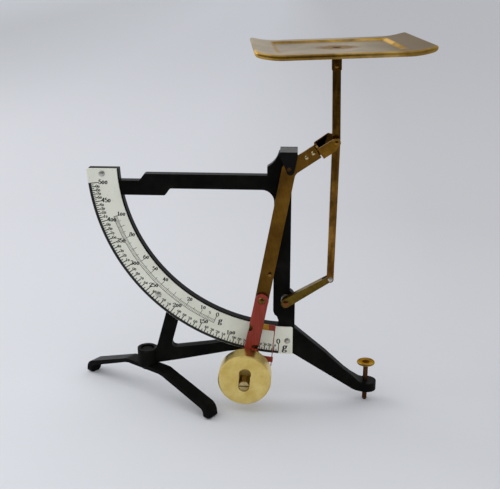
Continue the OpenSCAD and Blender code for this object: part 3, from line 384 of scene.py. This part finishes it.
# Painted shade: a darker, rougher copy of the yoke's brass for the inside between its ears
yoke_brass_in_shade = sheet_brass("yoke_brass_painted_shade", "#6E5220", "#94702E", "#AC8A42", 0.62, YOKE_TURN)
link_brass = sheet_brass("link_brass_olive", "#4B3B18", "#68541F", "#846D2E", 0.3, LINK_TURN)
disc_brass = turned_brass("disc_brass_polished", DISC, LEVEL_AXIS, "#DCBD68", "#F0D888", 0.26)
# Painted reflection: a paler, rougher copy of the disc's brass for the walls of its slot, lighter
# than the disc itself, to show the light gleaming in the slot
slot_brass = turned_brass("slot_brass_painted_light", DISC, LEVEL_AXIS, "#F0D888", "#FBE9B4", 0.6)
knob_brass = turned_brass("knob_brass_worn", middle_of(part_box("levelling_knob")),
                          UPRIGHT_AXIS, "#6A4E20", "#B08E46", 0.3, "#D2B070")
fitting_brass = turned_brass("fitting_brass", FOLD, LEVEL_AXIS, "#684A22", "#967038", 0.28)
stud_copper = turned_brass("stud_coppery_brown", FOLD, LEVEL_AXIS, "#5C3519", "#9A653C", 0.28)
rivet_brass = turned_brass("rivet_brass_bright", FOLD, LEVEL_AXIS, "#CDB684", "#E6D6AC", 0.4)
bright_steel = plain_steel("bright_steel", "#BDBCB4", "#E2E0D8", 0.42, 0.0)
# Painted light: the stud's steel is paler and golden, standing in for the light and gold
# reflection on its side in the slot; its brown spots are real wear
stud_steel = plain_steel("stud_steel_worn_and_lightened", "#BCA468", "#E4D4A0", 0.45, 0.15)
dark_steel = plain_steel("dark_steel", "#3A3632", "#5E5A54", 0.3, 0.4)
brown_steel = plain_steel("browned_steel", "#4A2F1C", "#6E4B2C", 0.36, 0.9, "#7A4E30")


# Pieces

def mesh_piece(name, points, faces, material, body):
    """A new piece from arrays of points and faces, which rides on a body."""
    mesh = bpy.data.meshes.new(name)
    mesh.from_pydata(np.asarray(points).tolist(), [], np.asarray(faces).tolist())
    mesh.materials.append(material)
    mesh.update()
    piece = bpy.data.objects.new(name, mesh)
    bpy.context.scene.collection.objects.link(piece)
    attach(piece, body)
    return piece


def smooth_up_to(mesh, degrees):
    """Smooth shading, but for edges sharper than that."""
    mesh.polygons.foreach_set("use_smooth", np.ones(len(mesh.polygons), bool))
    mesh.set_sharp_from_angle(angle=math.radians(degrees))


# Two points nearer than MERGED, in metres, are one; faces within FLAT degrees are one; an
# edge sharper than SHARP degrees is rounded
MERGED, FLAT, SHARP = 2e-6, 0.5, 32.0


def broken_edges(node, width, material, other=None):
    """A copy of a node's shape, joined up, with its sharp edges rounded to `width`
    millimetres. It stands for the node. other is an x and a z where the faces are cut, a
    test of a face's middle, and the material of those that pass it."""
    source = nodes[node]
    shell = bmesh.new()
    shell.from_mesh(source.data)
    bmesh.ops.remove_doubles(shell, verts=shell.verts, dist=MERGED)
    bmesh.ops.dissolve_limit(shell, angle_limit=math.radians(FLAT), verts=shell.verts,
                             edges=shell.edges)
    mesh = bpy.data.meshes.new(node + "_edged")
    mesh.materials.append(material)
    if other:
        cut_x, cut_z, passes, other_material = other
        mesh.materials.append(other_material)
        for axis, value in ((0, cut_x), (2, cut_z)):
            spot, way = Vector(), Vector()
            spot[axis], way[axis] = value, 1.0
            bmesh.ops.bisect_plane(shell, geom=shell.verts[:] + shell.edges[:] + shell.faces[:],
                                   plane_co=spot, plane_no=way)
        for face in shell.faces:
            face.material_index = int(passes(face.calc_center_median()))
    shell.to_mesh(mesh)
    shell.free()
    smooth_up_to(mesh, 30)
    piece = bpy.data.objects.new(node + "_edged", mesh)
    bpy.context.scene.collection.objects.link(piece)
    bevel = piece.modifiers.new("broken edge", "BEVEL")
    bevel.width = width * MM
    bevel.segments = 3
    bevel.limit_method = "ANGLE"
    bevel.angle_limit = math.radians(SHARP)
    bevel.use_clamp_overlap = True
    bevel.harden_normals = True
    bevel.miter_outer = "MITER_ARC"
    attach(piece, source["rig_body"])
    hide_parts(node)
    return piece


# The pan, in millimetres. Its outlines are half the width, half the depth, the corner
# radius and the shift in x. Heights are above its foot, and steps are from the tray's
# outline, outwards.
TRAY, RIM = (37.0, 36.0, 4.0, -1.0), (50.5, 47.5, 4.0, 0.0)
FLOOR_TOP, SHEET_TOP, SHEET_UNDER, BEAD = 1.0, 2.4, 1.4, 1.6
STEP_FOOT, STEP_TOP, STEP_UNDER, STEP_HEEL = -3.2, 0.4, 1.0, 0.7
HOLE, SEAT_END = 1.42, 3.1
RIVET_SEAT = ((HOLE, 0.0), (HOLE, 0.45), (2.3, 0.45), (2.65, 0.7), (SEAT_END, FLOOR_TOP))
BEAD_INSET, CURL, CURL_FROM = 1.9, 2.6, 34.0

# It lies in its own frame: its foot at the origin, x along its long side and z up
pan_up = Vector(pan_floor["axis"])
rivet_middle = middle_of(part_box("pan_rivet"))
under_floor = Vector(pan_floor["pos_m"]) - pan_up * FLOOR_TOP * MM
PAN_FOOT = rivet_middle + pan_up * (under_floor - rivet_middle).dot(pan_up)
PAN_TURN, PAN_LEAN = math.radians(5.2), math.radians(-1.8)


def rounded_ring(size, grow):
    """Points round a rectangle with round corners: half its width, half its depth, its
    corner radius and its shift in x, all but the shift grown by the same amount. Each
    corner arc has 8 steps and each straight side 40, at every size."""
    across, deep, radius, shift = size
    across, deep, radius = across + grow, deep + grow, radius + grow
    corners = [(1, 1), (-1, 1), (-1, -1), (1, -1)]
    centres = [np.array([sx * (across - radius), sy * (deep - radius)]) for sx, sy in corners]
    ring = []
    for k, centre in enumerate(centres):
        a = np.radians(90 * k + np.linspace(0, 90, 8 + 1))
        arc = centre + radius * np.stack([np.cos(a), np.sin(a)], 1)
        a = np.radians(90 * (k + 1))
        end = centres[(k + 1) % 4] + radius * np.array([np.cos(a), np.sin(a)])
        t = np.linspace(0, 1, 40 + 1)[1:-1, None]
        ring += [arc, arc[-1] * (1 - t) + end * t]
    return np.concatenate(ring) + np.array([shift, 0.0])


def pan_surface():
    """The pan as rings of points, one inside the next, from the rivet's hole over the floor
    of the tray, up its soft step, out to the rim, round the rolled edge and back below. A
    ring inside the tray is part circle, part tray outline; outside, part tray outline, part
    rim. The sheet's short ends curl up with the square of the distance past 34 mm, by 2.6
    mm at the rim. Each point's fourth number is how golden it is: partly rubbed bare,
    partly a painted highlight."""
    tray = rounded_ring(TRAY, STEP_FOOT)
    angle = np.arctan2(tray[:, 1], tray[:, 0])
    circle = np.stack([np.cos(angle), np.sin(angle)], 1)
    rings = []

    def put(flat, height, curled, rubbed_and_highlit):
        past = np.maximum(np.abs(flat[:, 0]) - CURL_FROM, 0) / (RIM[0] - CURL_FROM)
        rubbed_and_highlit = np.broadcast_to(rubbed_and_highlit, len(flat))
        rings.append(np.column_stack([flat, height + CURL * past ** 2 * curled, rubbed_and_highlit]))

    for radius, height in RIVET_SEAT:
        put(circle * radius, height, 0, 0.2)
    for t in np.linspace(0.06, 1, 9):
        put(circle * SEAT_END * (1 - t) + tray * t, FLOOR_TOP, 0, 0)
    # The step is most golden at the middle of its curve, as a painted highlight along it
    for t in np.linspace(0.08, 1, 9):
        step = 0.5 - 0.5 * math.cos(math.pi * t)
        put(rounded_ring(TRAY, STEP_FOOT + (STEP_TOP - STEP_FOOT) * t),
            FLOOR_TOP + (SHEET_TOP - FLOOR_TOP) * step, step, math.sin(math.pi * t) ** 0.7)
    start, stop = rounded_ring(TRAY, STEP_TOP), rounded_ring(RIM, -BEAD - 0.9)
    for t in np.linspace(0.12, 1, 8):
        put(start * (1 - t) + stop * t, SHEET_TOP, 1, 0)

    # The rolled edge is golden most along the front, more to the left, and less on top:
    # partly brass rubbed bare, partly a painted highlight on the front and its left corner
    for a in np.radians(np.linspace(90, -90, 15)):
        ring = rounded_ring(RIM, BEAD * (math.cos(a) - 1))
        front = np.clip((-ring[:, 1] - 15) / 25, 0, 1)
        front = front * (0.8 - 0.4 * np.clip(ring[:, 0] / 40, -0.3, 1))
        put(ring, SHEET_TOP - BEAD + BEAD * math.sin(a), 1,
            (1 - 0.6 * (a > 1.3)) * (0.12 + 0.88 * front))
    for inset, height in ((1.85, SHEET_TOP - 2 * BEAD + 0.15), (BEAD_INSET, SHEET_UNDER)):
        put(rounded_ring(RIM, -inset), height, 1, 0.3)
    start, stop = rounded_ring(RIM, -BEAD_INSET), rounded_ring(TRAY, STEP_UNDER)
    for t in np.linspace(0.15, 1, 7):
        put(start * (1 - t) + stop * t, SHEET_UNDER, 1, 0)
    put(rounded_ring(TRAY, STEP_UNDER), 0.25, 0, 0.2)
    put(rounded_ring(TRAY, STEP_HEEL), 0.0, 0, 0.2)
    for t in np.linspace(0.75, 0.04, 5):
        put(circle * HOLE * (1 - t) + rounded_ring(TRAY, STEP_HEEL) * t, 0.0, 0, 0)

    grid = np.stack(rings)
    count, around = grid.shape[:2]
    i, j = np.meshgrid(np.arange(count), np.arange(around), indexing="ij")
    i2, j2 = (i + 1) % count, (j + 1) % around
    faces = [i * around + j, i2 * around + j, i2 * around + j2, i * around + j2]
    return grid.reshape(-1, 4), np.stack(faces, -1).reshape(-1, 4)


pan_points, pan_faces = pan_surface()
placed = np.array(Matrix.Translation(PAN_FOOT) @ Matrix.Rotation(PAN_TURN, 4, "Z")
                  @ Matrix.Rotation(PAN_LEAN, 4, "Y"))
pan = mesh_piece("pan_sheet", pan_points[:, :3] * MM @ placed[:3, :3].T + placed[:3, 3],
                 pan_faces, pan_metal(PAN_FOOT), "rod")
# The golden share of each point, part rubbed brass and part painted highlight
rubbed_and_highlit = pan.data.attributes.new("rubbed_and_highlit", "FLOAT", "POINT")
rubbed_and_highlit.data.foreach_set("value", pan_points[:, 3].astype(np.float32))
smooth_up_to(pan.data, 50)
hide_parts("pan")

# Nodes with broken edges: how wide these are in millimetres, the finish and its slot
EDGED = [
    ("frame_casting", 0.7, enamel, "black_enamel"),
    ("bearing_bracket", 0.4, strap_enamel, "black_enamel"),
    ("cross_foot", 0.6, enamel, "black_enamel"),
    ("scale_plate", 0.15, white, "white_enamel"),
    ("main_lever", 0.2, lever_brass, "aged_brass"),
    ("weight_arm", 0.2, red, "red_paint"),
    ("pointer_frame", 0.12, red, "red_paint"),
    ("yoke", 0.25, yoke_brass, "aged_brass"),
    ("lower_link", 0.15, link_brass, "aged_brass"),
    ("load_rod", 0.25, rod_brass, "aged_brass"),
    ("pan_stem", 0.15, rod_brass, "aged_brass"),
    ("disc_weight", 0.3, disc_brass, "bright_brass"),
    ("levelling_knob", 0.15, knob_brass, "bright_brass"),
]

# The top bar of the pointer's window is bare brass next to the lever. The walls of the
# disc's slot are a paler, rougher brass, a painted reflection of the light in the slot.
# The inside of the yoke is a darker, rougher brass, painted shade between its ears.
BARE_X, BARE_Z = PIVOT.x - 12 * MM, PIVOT.z - 113 * MM
SLOT_REACH = 12 * MM
DISC_FRONT, DISC_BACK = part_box("disc_weight")[0].y + 0.5 * MM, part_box("disc_weight")[1].y - MM
YOKE_FRONT, YOKE_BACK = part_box("yoke")[0].y + 0.75 * MM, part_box("yoke")[1].y - 0.75 * MM


def on_top_bar(c):
    return c.x < BARE_X and c.z > BARE_Z


def in_slot(c):
    return (math.hypot(c.x - DISC.x, c.z - DISC.z) < SLOT_REACH
            and DISC_FRONT < c.y < DISC_BACK)


def inside_yoke(c):
    return YOKE_FRONT < c.y < YOKE_BACK


OTHER = {
    "pointer_frame": (BARE_X, BARE_Z, on_top_bar, yoke_brass),
    "disc_weight": (DISC.x, DISC.z, in_slot, slot_brass),
    "yoke": (PIVOT.x, PIVOT.z, inside_yoke, yoke_brass_in_shade),
}
for node, width, material, slot in EDGED:
    broken_edges(node, width, material, other=OTHER.get(node))

# Nodes that keep their own mesh, by the finish they are given
CARRIED = {
    enamel: ["foot_pivot_pin", "foot_washer"],
    dark_steel: ["bracket_screws"],
    bright_steel: ["scale_plate_rivets", "rod_rivet", "link_collar"],
    stud_steel: ["weight_stud"],
    brown_steel: ["levelling_screw", "pan_rivet", "lever_axle"],
    stud_copper: ["link_stud", "rest_stop_pin"],
    red: ["pointer_hair"],
    lever_brass: ["lever_hub", "bearing_bush", "pointer_rivets"],
    rod_brass: ["stem_rivet", "rod_spacers", "rod_pin"],
    fitting_brass: ["fold_screw", "fold_washer", "fold_nut", "fold_stop_pin"],
    disc_brass: ["weight_nut"],
    rivet_brass: ["yoke_rivets"],
}
for material, names in CARRIED.items():
    for name in names:
        nodes[name].data.materials.clear()
        nodes[name].data.materials.append(material)


# The printed scale. Its places are in millimetres from the main pivot, x to the right
# and z up, and the ink lies INK_LIFT in front of the plate.
INK_LIFT = 0.03


def on_plate(flat):
    """Points of the plate's face, given in millimetres from the main pivot, in metres in
    the row frame."""
    flat = np.asarray(flat, float)
    return np.stack([PIVOT.x + flat[:, 0] * MM, np.full(len(flat), PLATE_FACE - INK_LIFT * MM),
                     PIVOT.z + flat[:, 1] * MM], 1)


def left_of_down(radius, degrees):
    """The point at that radius, so many degrees left of straight down from the main pivot."""
    a = np.radians(degrees)
    return np.stack(np.broadcast_arrays(-radius * np.sin(a), -radius * np.cos(a)), -1)


def lever_turn(load, zero, gain, phase, slant, start):
    """Degrees left of straight down at which the scale shows a load in grams. The lever
    balances where (load + start) times the cosine of (slant - turn) equals gain times the
    sine of (turn + phase), which is solved for the turn; zero is where the scale begins."""
    total = np.asarray(load, float) + start
    up = total * math.cos(math.radians(slant)) - gain * math.sin(math.radians(phase))
    across = gain * math.cos(math.radians(phase)) - total * math.sin(math.radians(slant))
    return zero + np.degrees(np.arctan2(up, across))


def outer_at(load):
    """Degrees of the outer scale. Its last ticks are set wider than the balance law says,
    by 0.7 degrees at full load."""
    last = 0.7 * (np.asarray(load, float) / OUTER_FULL) ** 14
    return lever_turn(load, zero=2.75, gain=399.8, phase=10.0, slant=34.0, start=82.5) + last


def inner_at(load):
    """Degrees of the inner scale, which is for the folded weight."""
    return lever_turn(load, zero=24.58, gain=109.3, phase=0.4, slant=12.5, start=0.7)


def bars(start, end, width):
    """Flat bars from start points to end points: each is a rectangle of its own width,
    half of it to either side of its line."""
    start, end = np.atleast_2d(start), np.atleast_2d(end)
    run = end - start
    run = run / np.linalg.norm(run, axis=1, keepdims=True)
    side = np.stack([-run[:, 1], run[:, 0]], 1) * (np.asarray(width, float) / 2).reshape(-1, 1)
    points = np.stack([start + side, start - side, end - side, end + side], 1).reshape(-1, 2)
    return points, np.arange(len(points)).reshape(-1, 4)


def ribbon(path, broad, narrow):
    """A pen stroke along a path: upright parts are as wide as broad, level ones as
    narrow, and in between the width follows the square of the slope's sine."""
    path = np.asarray(path, float)
    run = np.gradient(path, axis=0)
    run = run / np.maximum(np.linalg.norm(run, axis=1, keepdims=True), 1e-9)
    half = (narrow + (broad - narrow) * run[:, 1:] ** 2) / 2
    side = np.stack([-run[:, 1], run[:, 0]], 1) * half
    points = np.concatenate([path + side, path - side])
    n = len(path)
    i = np.arange(n - 1)
    return points, np.stack([i, i + n, i + n + 1, i + 1], 1)


def joined(parts):
    """Several flat shapes as one: points in a row, and faces counted on."""
    points, faces, count = [], [], 0
    for p, f in parts:
        points.append(p)
        faces.append(f + count)
        count += len(p)
    return np.concatenate(points), np.concatenate(faces)


def oval(x, z, across, up, start=0.0, end=360.0):
    """22 points round an oval from one angle to another, counted from the right, turning
    left."""
    a = np.radians(np.linspace(start, end, 22))
    return np.stack([x + across * np.cos(a), z + up * np.sin(a)], 1)


def stroke(*points):
    """Points along straight pieces, ten to each."""
    points = np.asarray(points, float)
    t = np.linspace(0, len(points) - 1, 10 * (len(points) - 1) + 1)
    return np.stack([np.interp(t, np.arange(len(points)), points[:, k]) for k in (0, 1)], 1)


# Each figure is drawn one unit high, with its middle at x = 0 and its foot at z = 0
FIGURES = {
    "0": [oval(0, 0.5, 0.27, 0.47)],
    "1": [stroke((0.02, 0.02), (0.02, 0.98)), stroke((-0.17, 0.8), (0.02, 0.97)),
          stroke((-0.16, 0.03), (0.2, 0.03))],
    "2": [oval(0, 0.72, 0.25, 0.25, 190, -30), stroke((0.215, 0.6), (-0.27, 0.05)),
          stroke((-0.27, 0.05), (0.28, 0.05), (0.31, 0.2))],
    "3": [oval(-0.02, 0.75, 0.23, 0.22, 165, -90), oval(-0.02, 0.27, 0.29, 0.26, 90, -160)],
    "4": [stroke((0.12, 0.97), (-0.31, 0.3)), stroke((-0.31, 0.3), (0.33, 0.3)),
          stroke((0.12, 0.02), (0.12, 0.97))],
    "5": [stroke((0.24, 0.95), (-0.17, 0.95)), stroke((-0.17, 0.95), (-0.2, 0.55)),
          oval(-0.01, 0.32, 0.27, 0.29, 132, -155)],
    "6": [oval(0, 0.3, 0.27, 0.28), oval(0.12, 0.36, 0.4, 0.6, 180, 72)],
    "7": [stroke((-0.28, 0.82), (-0.25, 0.94), (0.29, 0.94)),
          stroke((0.29, 0.94), (-0.06, 0.02))],
    "8": [oval(0, 0.75, 0.21, 0.21), oval(0, 0.27, 0.27, 0.26)],
    "9": [oval(0, 0.68, 0.27, 0.29), oval(-0.12, 0.64, 0.39, 0.6, 0, -108)],
    "g": [oval(-0.04, 0.7, 0.2, 0.22), stroke((0.14, 0.86), (0.32, 0.93)),
          oval(-0.03, 0.08, 0.27, 0.16), oval(-0.08, 0.36, 0.17, 0.1, 100, 250),
          stroke((-0.13, 0.27), (0.2, 0.2))],
}
# In figure heights: from one figure to the next, and the pen's broad and narrow stroke
PITCH, BROAD, NARROW = 0.68, 0.25, 0.12
SMALL_NOUGHT = 0.74


def number(text, middle, height, slope=0.0):
    """A number's strokes, centred on middle, its figures side by side; slope leans them.
    A nought inside a longer number is cut small, as in old-style figures."""
    parts = []
    for k, mark in enumerate(text):
        aside = np.array([(k - (len(text) - 1) / 2) * PITCH * height, 0.0])
        size = SMALL_NOUGHT if mark == "0" and len(text) > 1 else 1.0
        for path in FIGURES[mark]:
            path = path * size - np.array([0.0, 0.5])
            path = np.stack([path[:, 0] + slope * path[:, 1], path[:, 1]], 1) * height + aside
            parts.append(ribbon(path + np.asarray(middle), BROAD * height, NARROW * height))
    return parts


def radial_ticks(degrees, inner, outer, width):
    """Bars that point at the main pivot, from one radius to another."""
    return bars(left_of_down(inner, degrees), left_of_down(outer, degrees),
                np.full(len(degrees), width))


def arc_line(radius, first, last, width, n=90):
    """A line of even width bent round the main pivot, through n points."""
    path = left_of_down(radius, np.linspace(first, last, n))
    return ribbon(path, width, width)


# Full loads in grams, and radii and widths in millimetres. The outer scale has a broad
# band at the plate's edge, with its ticks inside it. The inner scale has two lines, its
# ticks run inwards from the second, and its figures follow inside.
OUTER_FULL, INNER_FULL = 500, 100
PLATE_EDGE, BAND = 129.9, 1.8
TICK_FOOT = PLATE_EDGE - 1.7
INNER_LINE, INNER_EDGE = 117.0, 119.2
OUTER_FIGURES, OUTER_SMALL, INNER_FIGURES = 121.3, 124.2, 112.5

# Ticks: the first load, the grams between two, how far they reach in, and their width
outer_ticks = joined([
    arc_line(PLATE_EDGE - BAND / 2, outer_at(0) - 0.08, outer_at(OUTER_FULL) + 0.1, BAND, 160),
    *(radial_ticks(outer_at(np.arange(first, OUTER_FULL + 1, every)), PLATE_EDGE - reach,
                   TICK_FOOT, width)
      for first, every, reach, width in ((5, 10, 3.2, 0.5), (0, 10, 4.6, 0.56),
                                         (0, 50, 7.0, 0.5)))])
mesh_piece("outer_scale_ticks", on_plate(outer_ticks[0]), outer_ticks[1], ink, "frame")

# Ticks: the grams between two, the radius that they reach in to, and their width
inner_ticks = joined([
    arc_line(INNER_LINE, inner_at(0), inner_at(INNER_FULL), 0.22),
    arc_line(INNER_EDGE, inner_at(0), inner_at(INNER_FULL), 0.26),
    *(radial_ticks(inner_at(np.arange(0, INNER_FULL + 1, every)), reach, INNER_EDGE, width)
      for every, reach, width in ((1, INNER_LINE, 0.21), (5, 115.7, 0.26), (10, 114.3, 0.3),
                                  (INNER_FULL, 114.3, 0.4)))])
mesh_piece("inner_scale_ticks", on_plate(inner_ticks[0]), inner_ticks[1], ink, "frame")

# Numbers: radius and degrees of their middle, height and slope. Those of the outer scale
# move in and on a little towards full load, and the last one of the inner scale out.
figures = number("0", left_of_down(121.1, 2.75), 3.5)
figures += number("g", left_of_down(126.2, 0.6), 4.7, 0.1)
for load in range(10, OUTER_FULL + 1, 10):
    degrees = float(outer_at(load))
    if load % 50 == 0:
        late = (load / OUTER_FULL) ** 5
        figures += number(str(load), left_of_down(OUTER_FIGURES - 1.1 * late,
                                                  degrees - 0.25 + 0.35 * late), 2.95, 0.1)
    elif load % 100:
        figures += number(str(load % 100), left_of_down(OUTER_SMALL, degrees), 2.0, 0.1)
figures += number("0", left_of_down(112.7, 24.5), 2.8, 0.1)
figures += number("g", left_of_down(116.8, 22.6), 3.8, 0.15)
figures += number("5", left_of_down(113.7, float(inner_at(5))), 2.0, 0.1)
for load in (10, 20, 40, 50, 60, 80, INNER_FULL):
    radius = INNER_FIGURES + 1.2 * (load == INNER_FULL)
    figures += number(str(load), left_of_down(radius, float(inner_at(load)) + 0.3), 2.7, 0.1)
points, faces = joined(figures)
mesh_piece("scale_numbers", on_plate(points), faces, ink, "frame")


# Studio: a pale seamless floor, soft light from above on the left, and a dark screen
# behind the camera that only reflections see

def seamless_paper():
    """Matt backdrop paper, cool grey with a faint fibre. Its colour holds painted light and
    shade: paler on the left, darker to the right of the scale, and a painted pool of light
    about a metre wide in front of the scale."""
    material, tree, shader, place = finish_of("seamless_paper", Metallic=0.0, Roughness=0.9,
                                              Specular_IOR_Level=0.2)
    # Painted light and shade: the paper is paler to the left and darker to the right of the scale
    fall = add(tree, "ShaderNodeMapping", {"Vector": place, "Location": (-1.2, 3.0, 0.0),
                                           "Scale": (2.6, 30.0, 3.0)}, vector_type="TEXTURE")
    light_falloff = add(tree, "ShaderNodeTexGradient", {"Vector": fall}, out="Fac",
               gradient_type="SPHERICAL")
    fibre = add(tree, "ShaderNodeTexNoise", {"Vector": place, "Scale": 800.0, "Detail": 3.0})
    colour = add(tree, "ShaderNodeValToRGB", {"Fac": light_falloff},
                 [(0.2, "#BDBEC2"), (0.46, "#BEBFC3"), (0.58, "#CBCDD2"), (0.72, "#CDCFD4"),
                  (1.0, "#C4C6CA")])
    # Painted pool of light in front of the scale
    near = add(tree, "ShaderNodeMapping", {"Vector": place, "Location": (-0.1, -0.5, 0.0)},
               vector_type="TEXTURE")
    light_pool = add(tree, "ShaderNodeTexGradient", {"Vector": near}, out="Fac",
               gradient_type="SPHERICAL")
    share = add(tree, "ShaderNodeMath", {FIRST: light_pool, SECOND: 0.58}, operation="MULTIPLY")
    with_painted_pool = add(tree, "ShaderNodeMix", {SHARE: share, UNDER: colour, OVER: paint("#E6E9EE")},
              out=MIXED, data_type="RGBA")
    bump = add(tree, "ShaderNodeBump", {"Height": fibre, "Strength": 0.03,
                                        "Distance": 0.1 * MM})
    feed(tree, shader, Base_Color=with_painted_pool, Normal=bump)
    return material


def flat_sheet(name, corners, material):
    """A flat four-cornered sheet of the studio."""
    mesh = bpy.data.meshes.new(name)
    mesh.from_pydata(corners, [], [(0, 1, 2, 3)])
    mesh.materials.append(material)
    sheet = bpy.data.objects.new(name, mesh)
    bpy.context.scene.collection.objects.link(sheet)
    return sheet


FLOOR_HALF = 14.0
SCREEN_HALF, SCREEN_Y, SCREEN_HEIGHT = 2.5, -0.75, 1.5
flat_sheet("studio_floor",
           [(x * FLOOR_HALF, y * FLOOR_HALF, 0.0)
            for x, y in ((-1, -1), (1, -1), (1, 1), (-1, 1))], seamless_paper())
screen = flat_sheet("reflection_screen",
                    [(x * SCREEN_HALF, SCREEN_Y, z * SCREEN_HEIGHT)
                     for x, z in ((-1, 0), (1, 0), (1, 1), (-1, 1))],
                    finish_of("black_screen_cloth", Roughness=1.0,
                              Base_Color=paint("#17171A"))[0])
screen.visible_camera = False
screen.visible_diffuse = False
screen.visible_shadow = False


def soft_lamp(name, place, aim, size, power, colour):
    """A square soft box at place, facing aim."""
    light = bpy.data.lights.new(name, "AREA")
    light.shape = "SQUARE"
    light.size = size
    light.energy = power
    light.color = colour
    lamp = bpy.data.objects.new(name, light)
    facing = (Vector(aim) - Vector(place)).to_track_quat("-Z", "Y").to_matrix().to_4x4()
    lamp.matrix_world = Matrix.Translation(place) @ facing
    bpy.context.scene.collection.objects.link(lamp)


soft_lamp("window_light", place=(-1.2, 0.25, 1.25), aim=(0.0, 0.0, 0.1), size=1.2, power=9.0,
          colour=(1.0, 0.985, 0.96))
soft_lamp("fill_light", place=(1.2, -0.9, 1.1), aim=(0.0, 0.0, 0.12), size=1.2, power=0.8,
          colour=(1.0, 0.99, 0.97))

world = bpy.data.worlds.new("studio_air")
bpy.context.scene.world = world
world.use_nodes = True
air = world.node_tree.nodes["Background"]
air.inputs["Color"].default_value = paint("#F2F3F5")
air.inputs["Strength"].default_value = 0.98


# Camera: where the photograph was taken from, with no shift. The focal length is in
# pixels of a picture PICTURE_WIDTH wide, the angles are in radians, and EYE is in
# millimetres from where the main pivot's axis meets the plate's face.
FOCAL, PICTURE_WIDTH = 867.1, 500
YAW, PITCH_DOWN, ROLL = -0.06105, 0.31916, 0.00036
EYE = (7.776, -534.95, 124.47)
forward = Vector((math.sin(YAW) * math.cos(PITCH_DOWN), math.cos(YAW) * math.cos(PITCH_DOWN),
                  -math.sin(PITCH_DOWN)))
level = Vector((math.cos(YAW), -math.sin(YAW), 0.0))
upward = level.cross(forward)
right = math.cos(ROLL) * level + math.sin(ROLL) * upward
upward = math.cos(ROLL) * upward - math.sin(ROLL) * level
lens = bpy.data.cameras.new("camera")
lens.sensor_width = 36.0
lens.lens = FOCAL * lens.sensor_width / PICTURE_WIDTH
lens.clip_start = 0.02
camera = bpy.data.objects.new("camera", lens)
camera.matrix_world = (Matrix.Translation(Vector((PIVOT.x, PLATE_FACE, PIVOT.z))
                                          + Vector(EYE) * MM)
                       @ Matrix((right, upward, -forward)).transposed().to_4x4())
bpy.context.scene.collection.objects.link(camera)
bpy.context.scene.camera = camera
bpy.context.scene.view_settings.view_transform = "Standard"

bpy.context.view_layer.update()
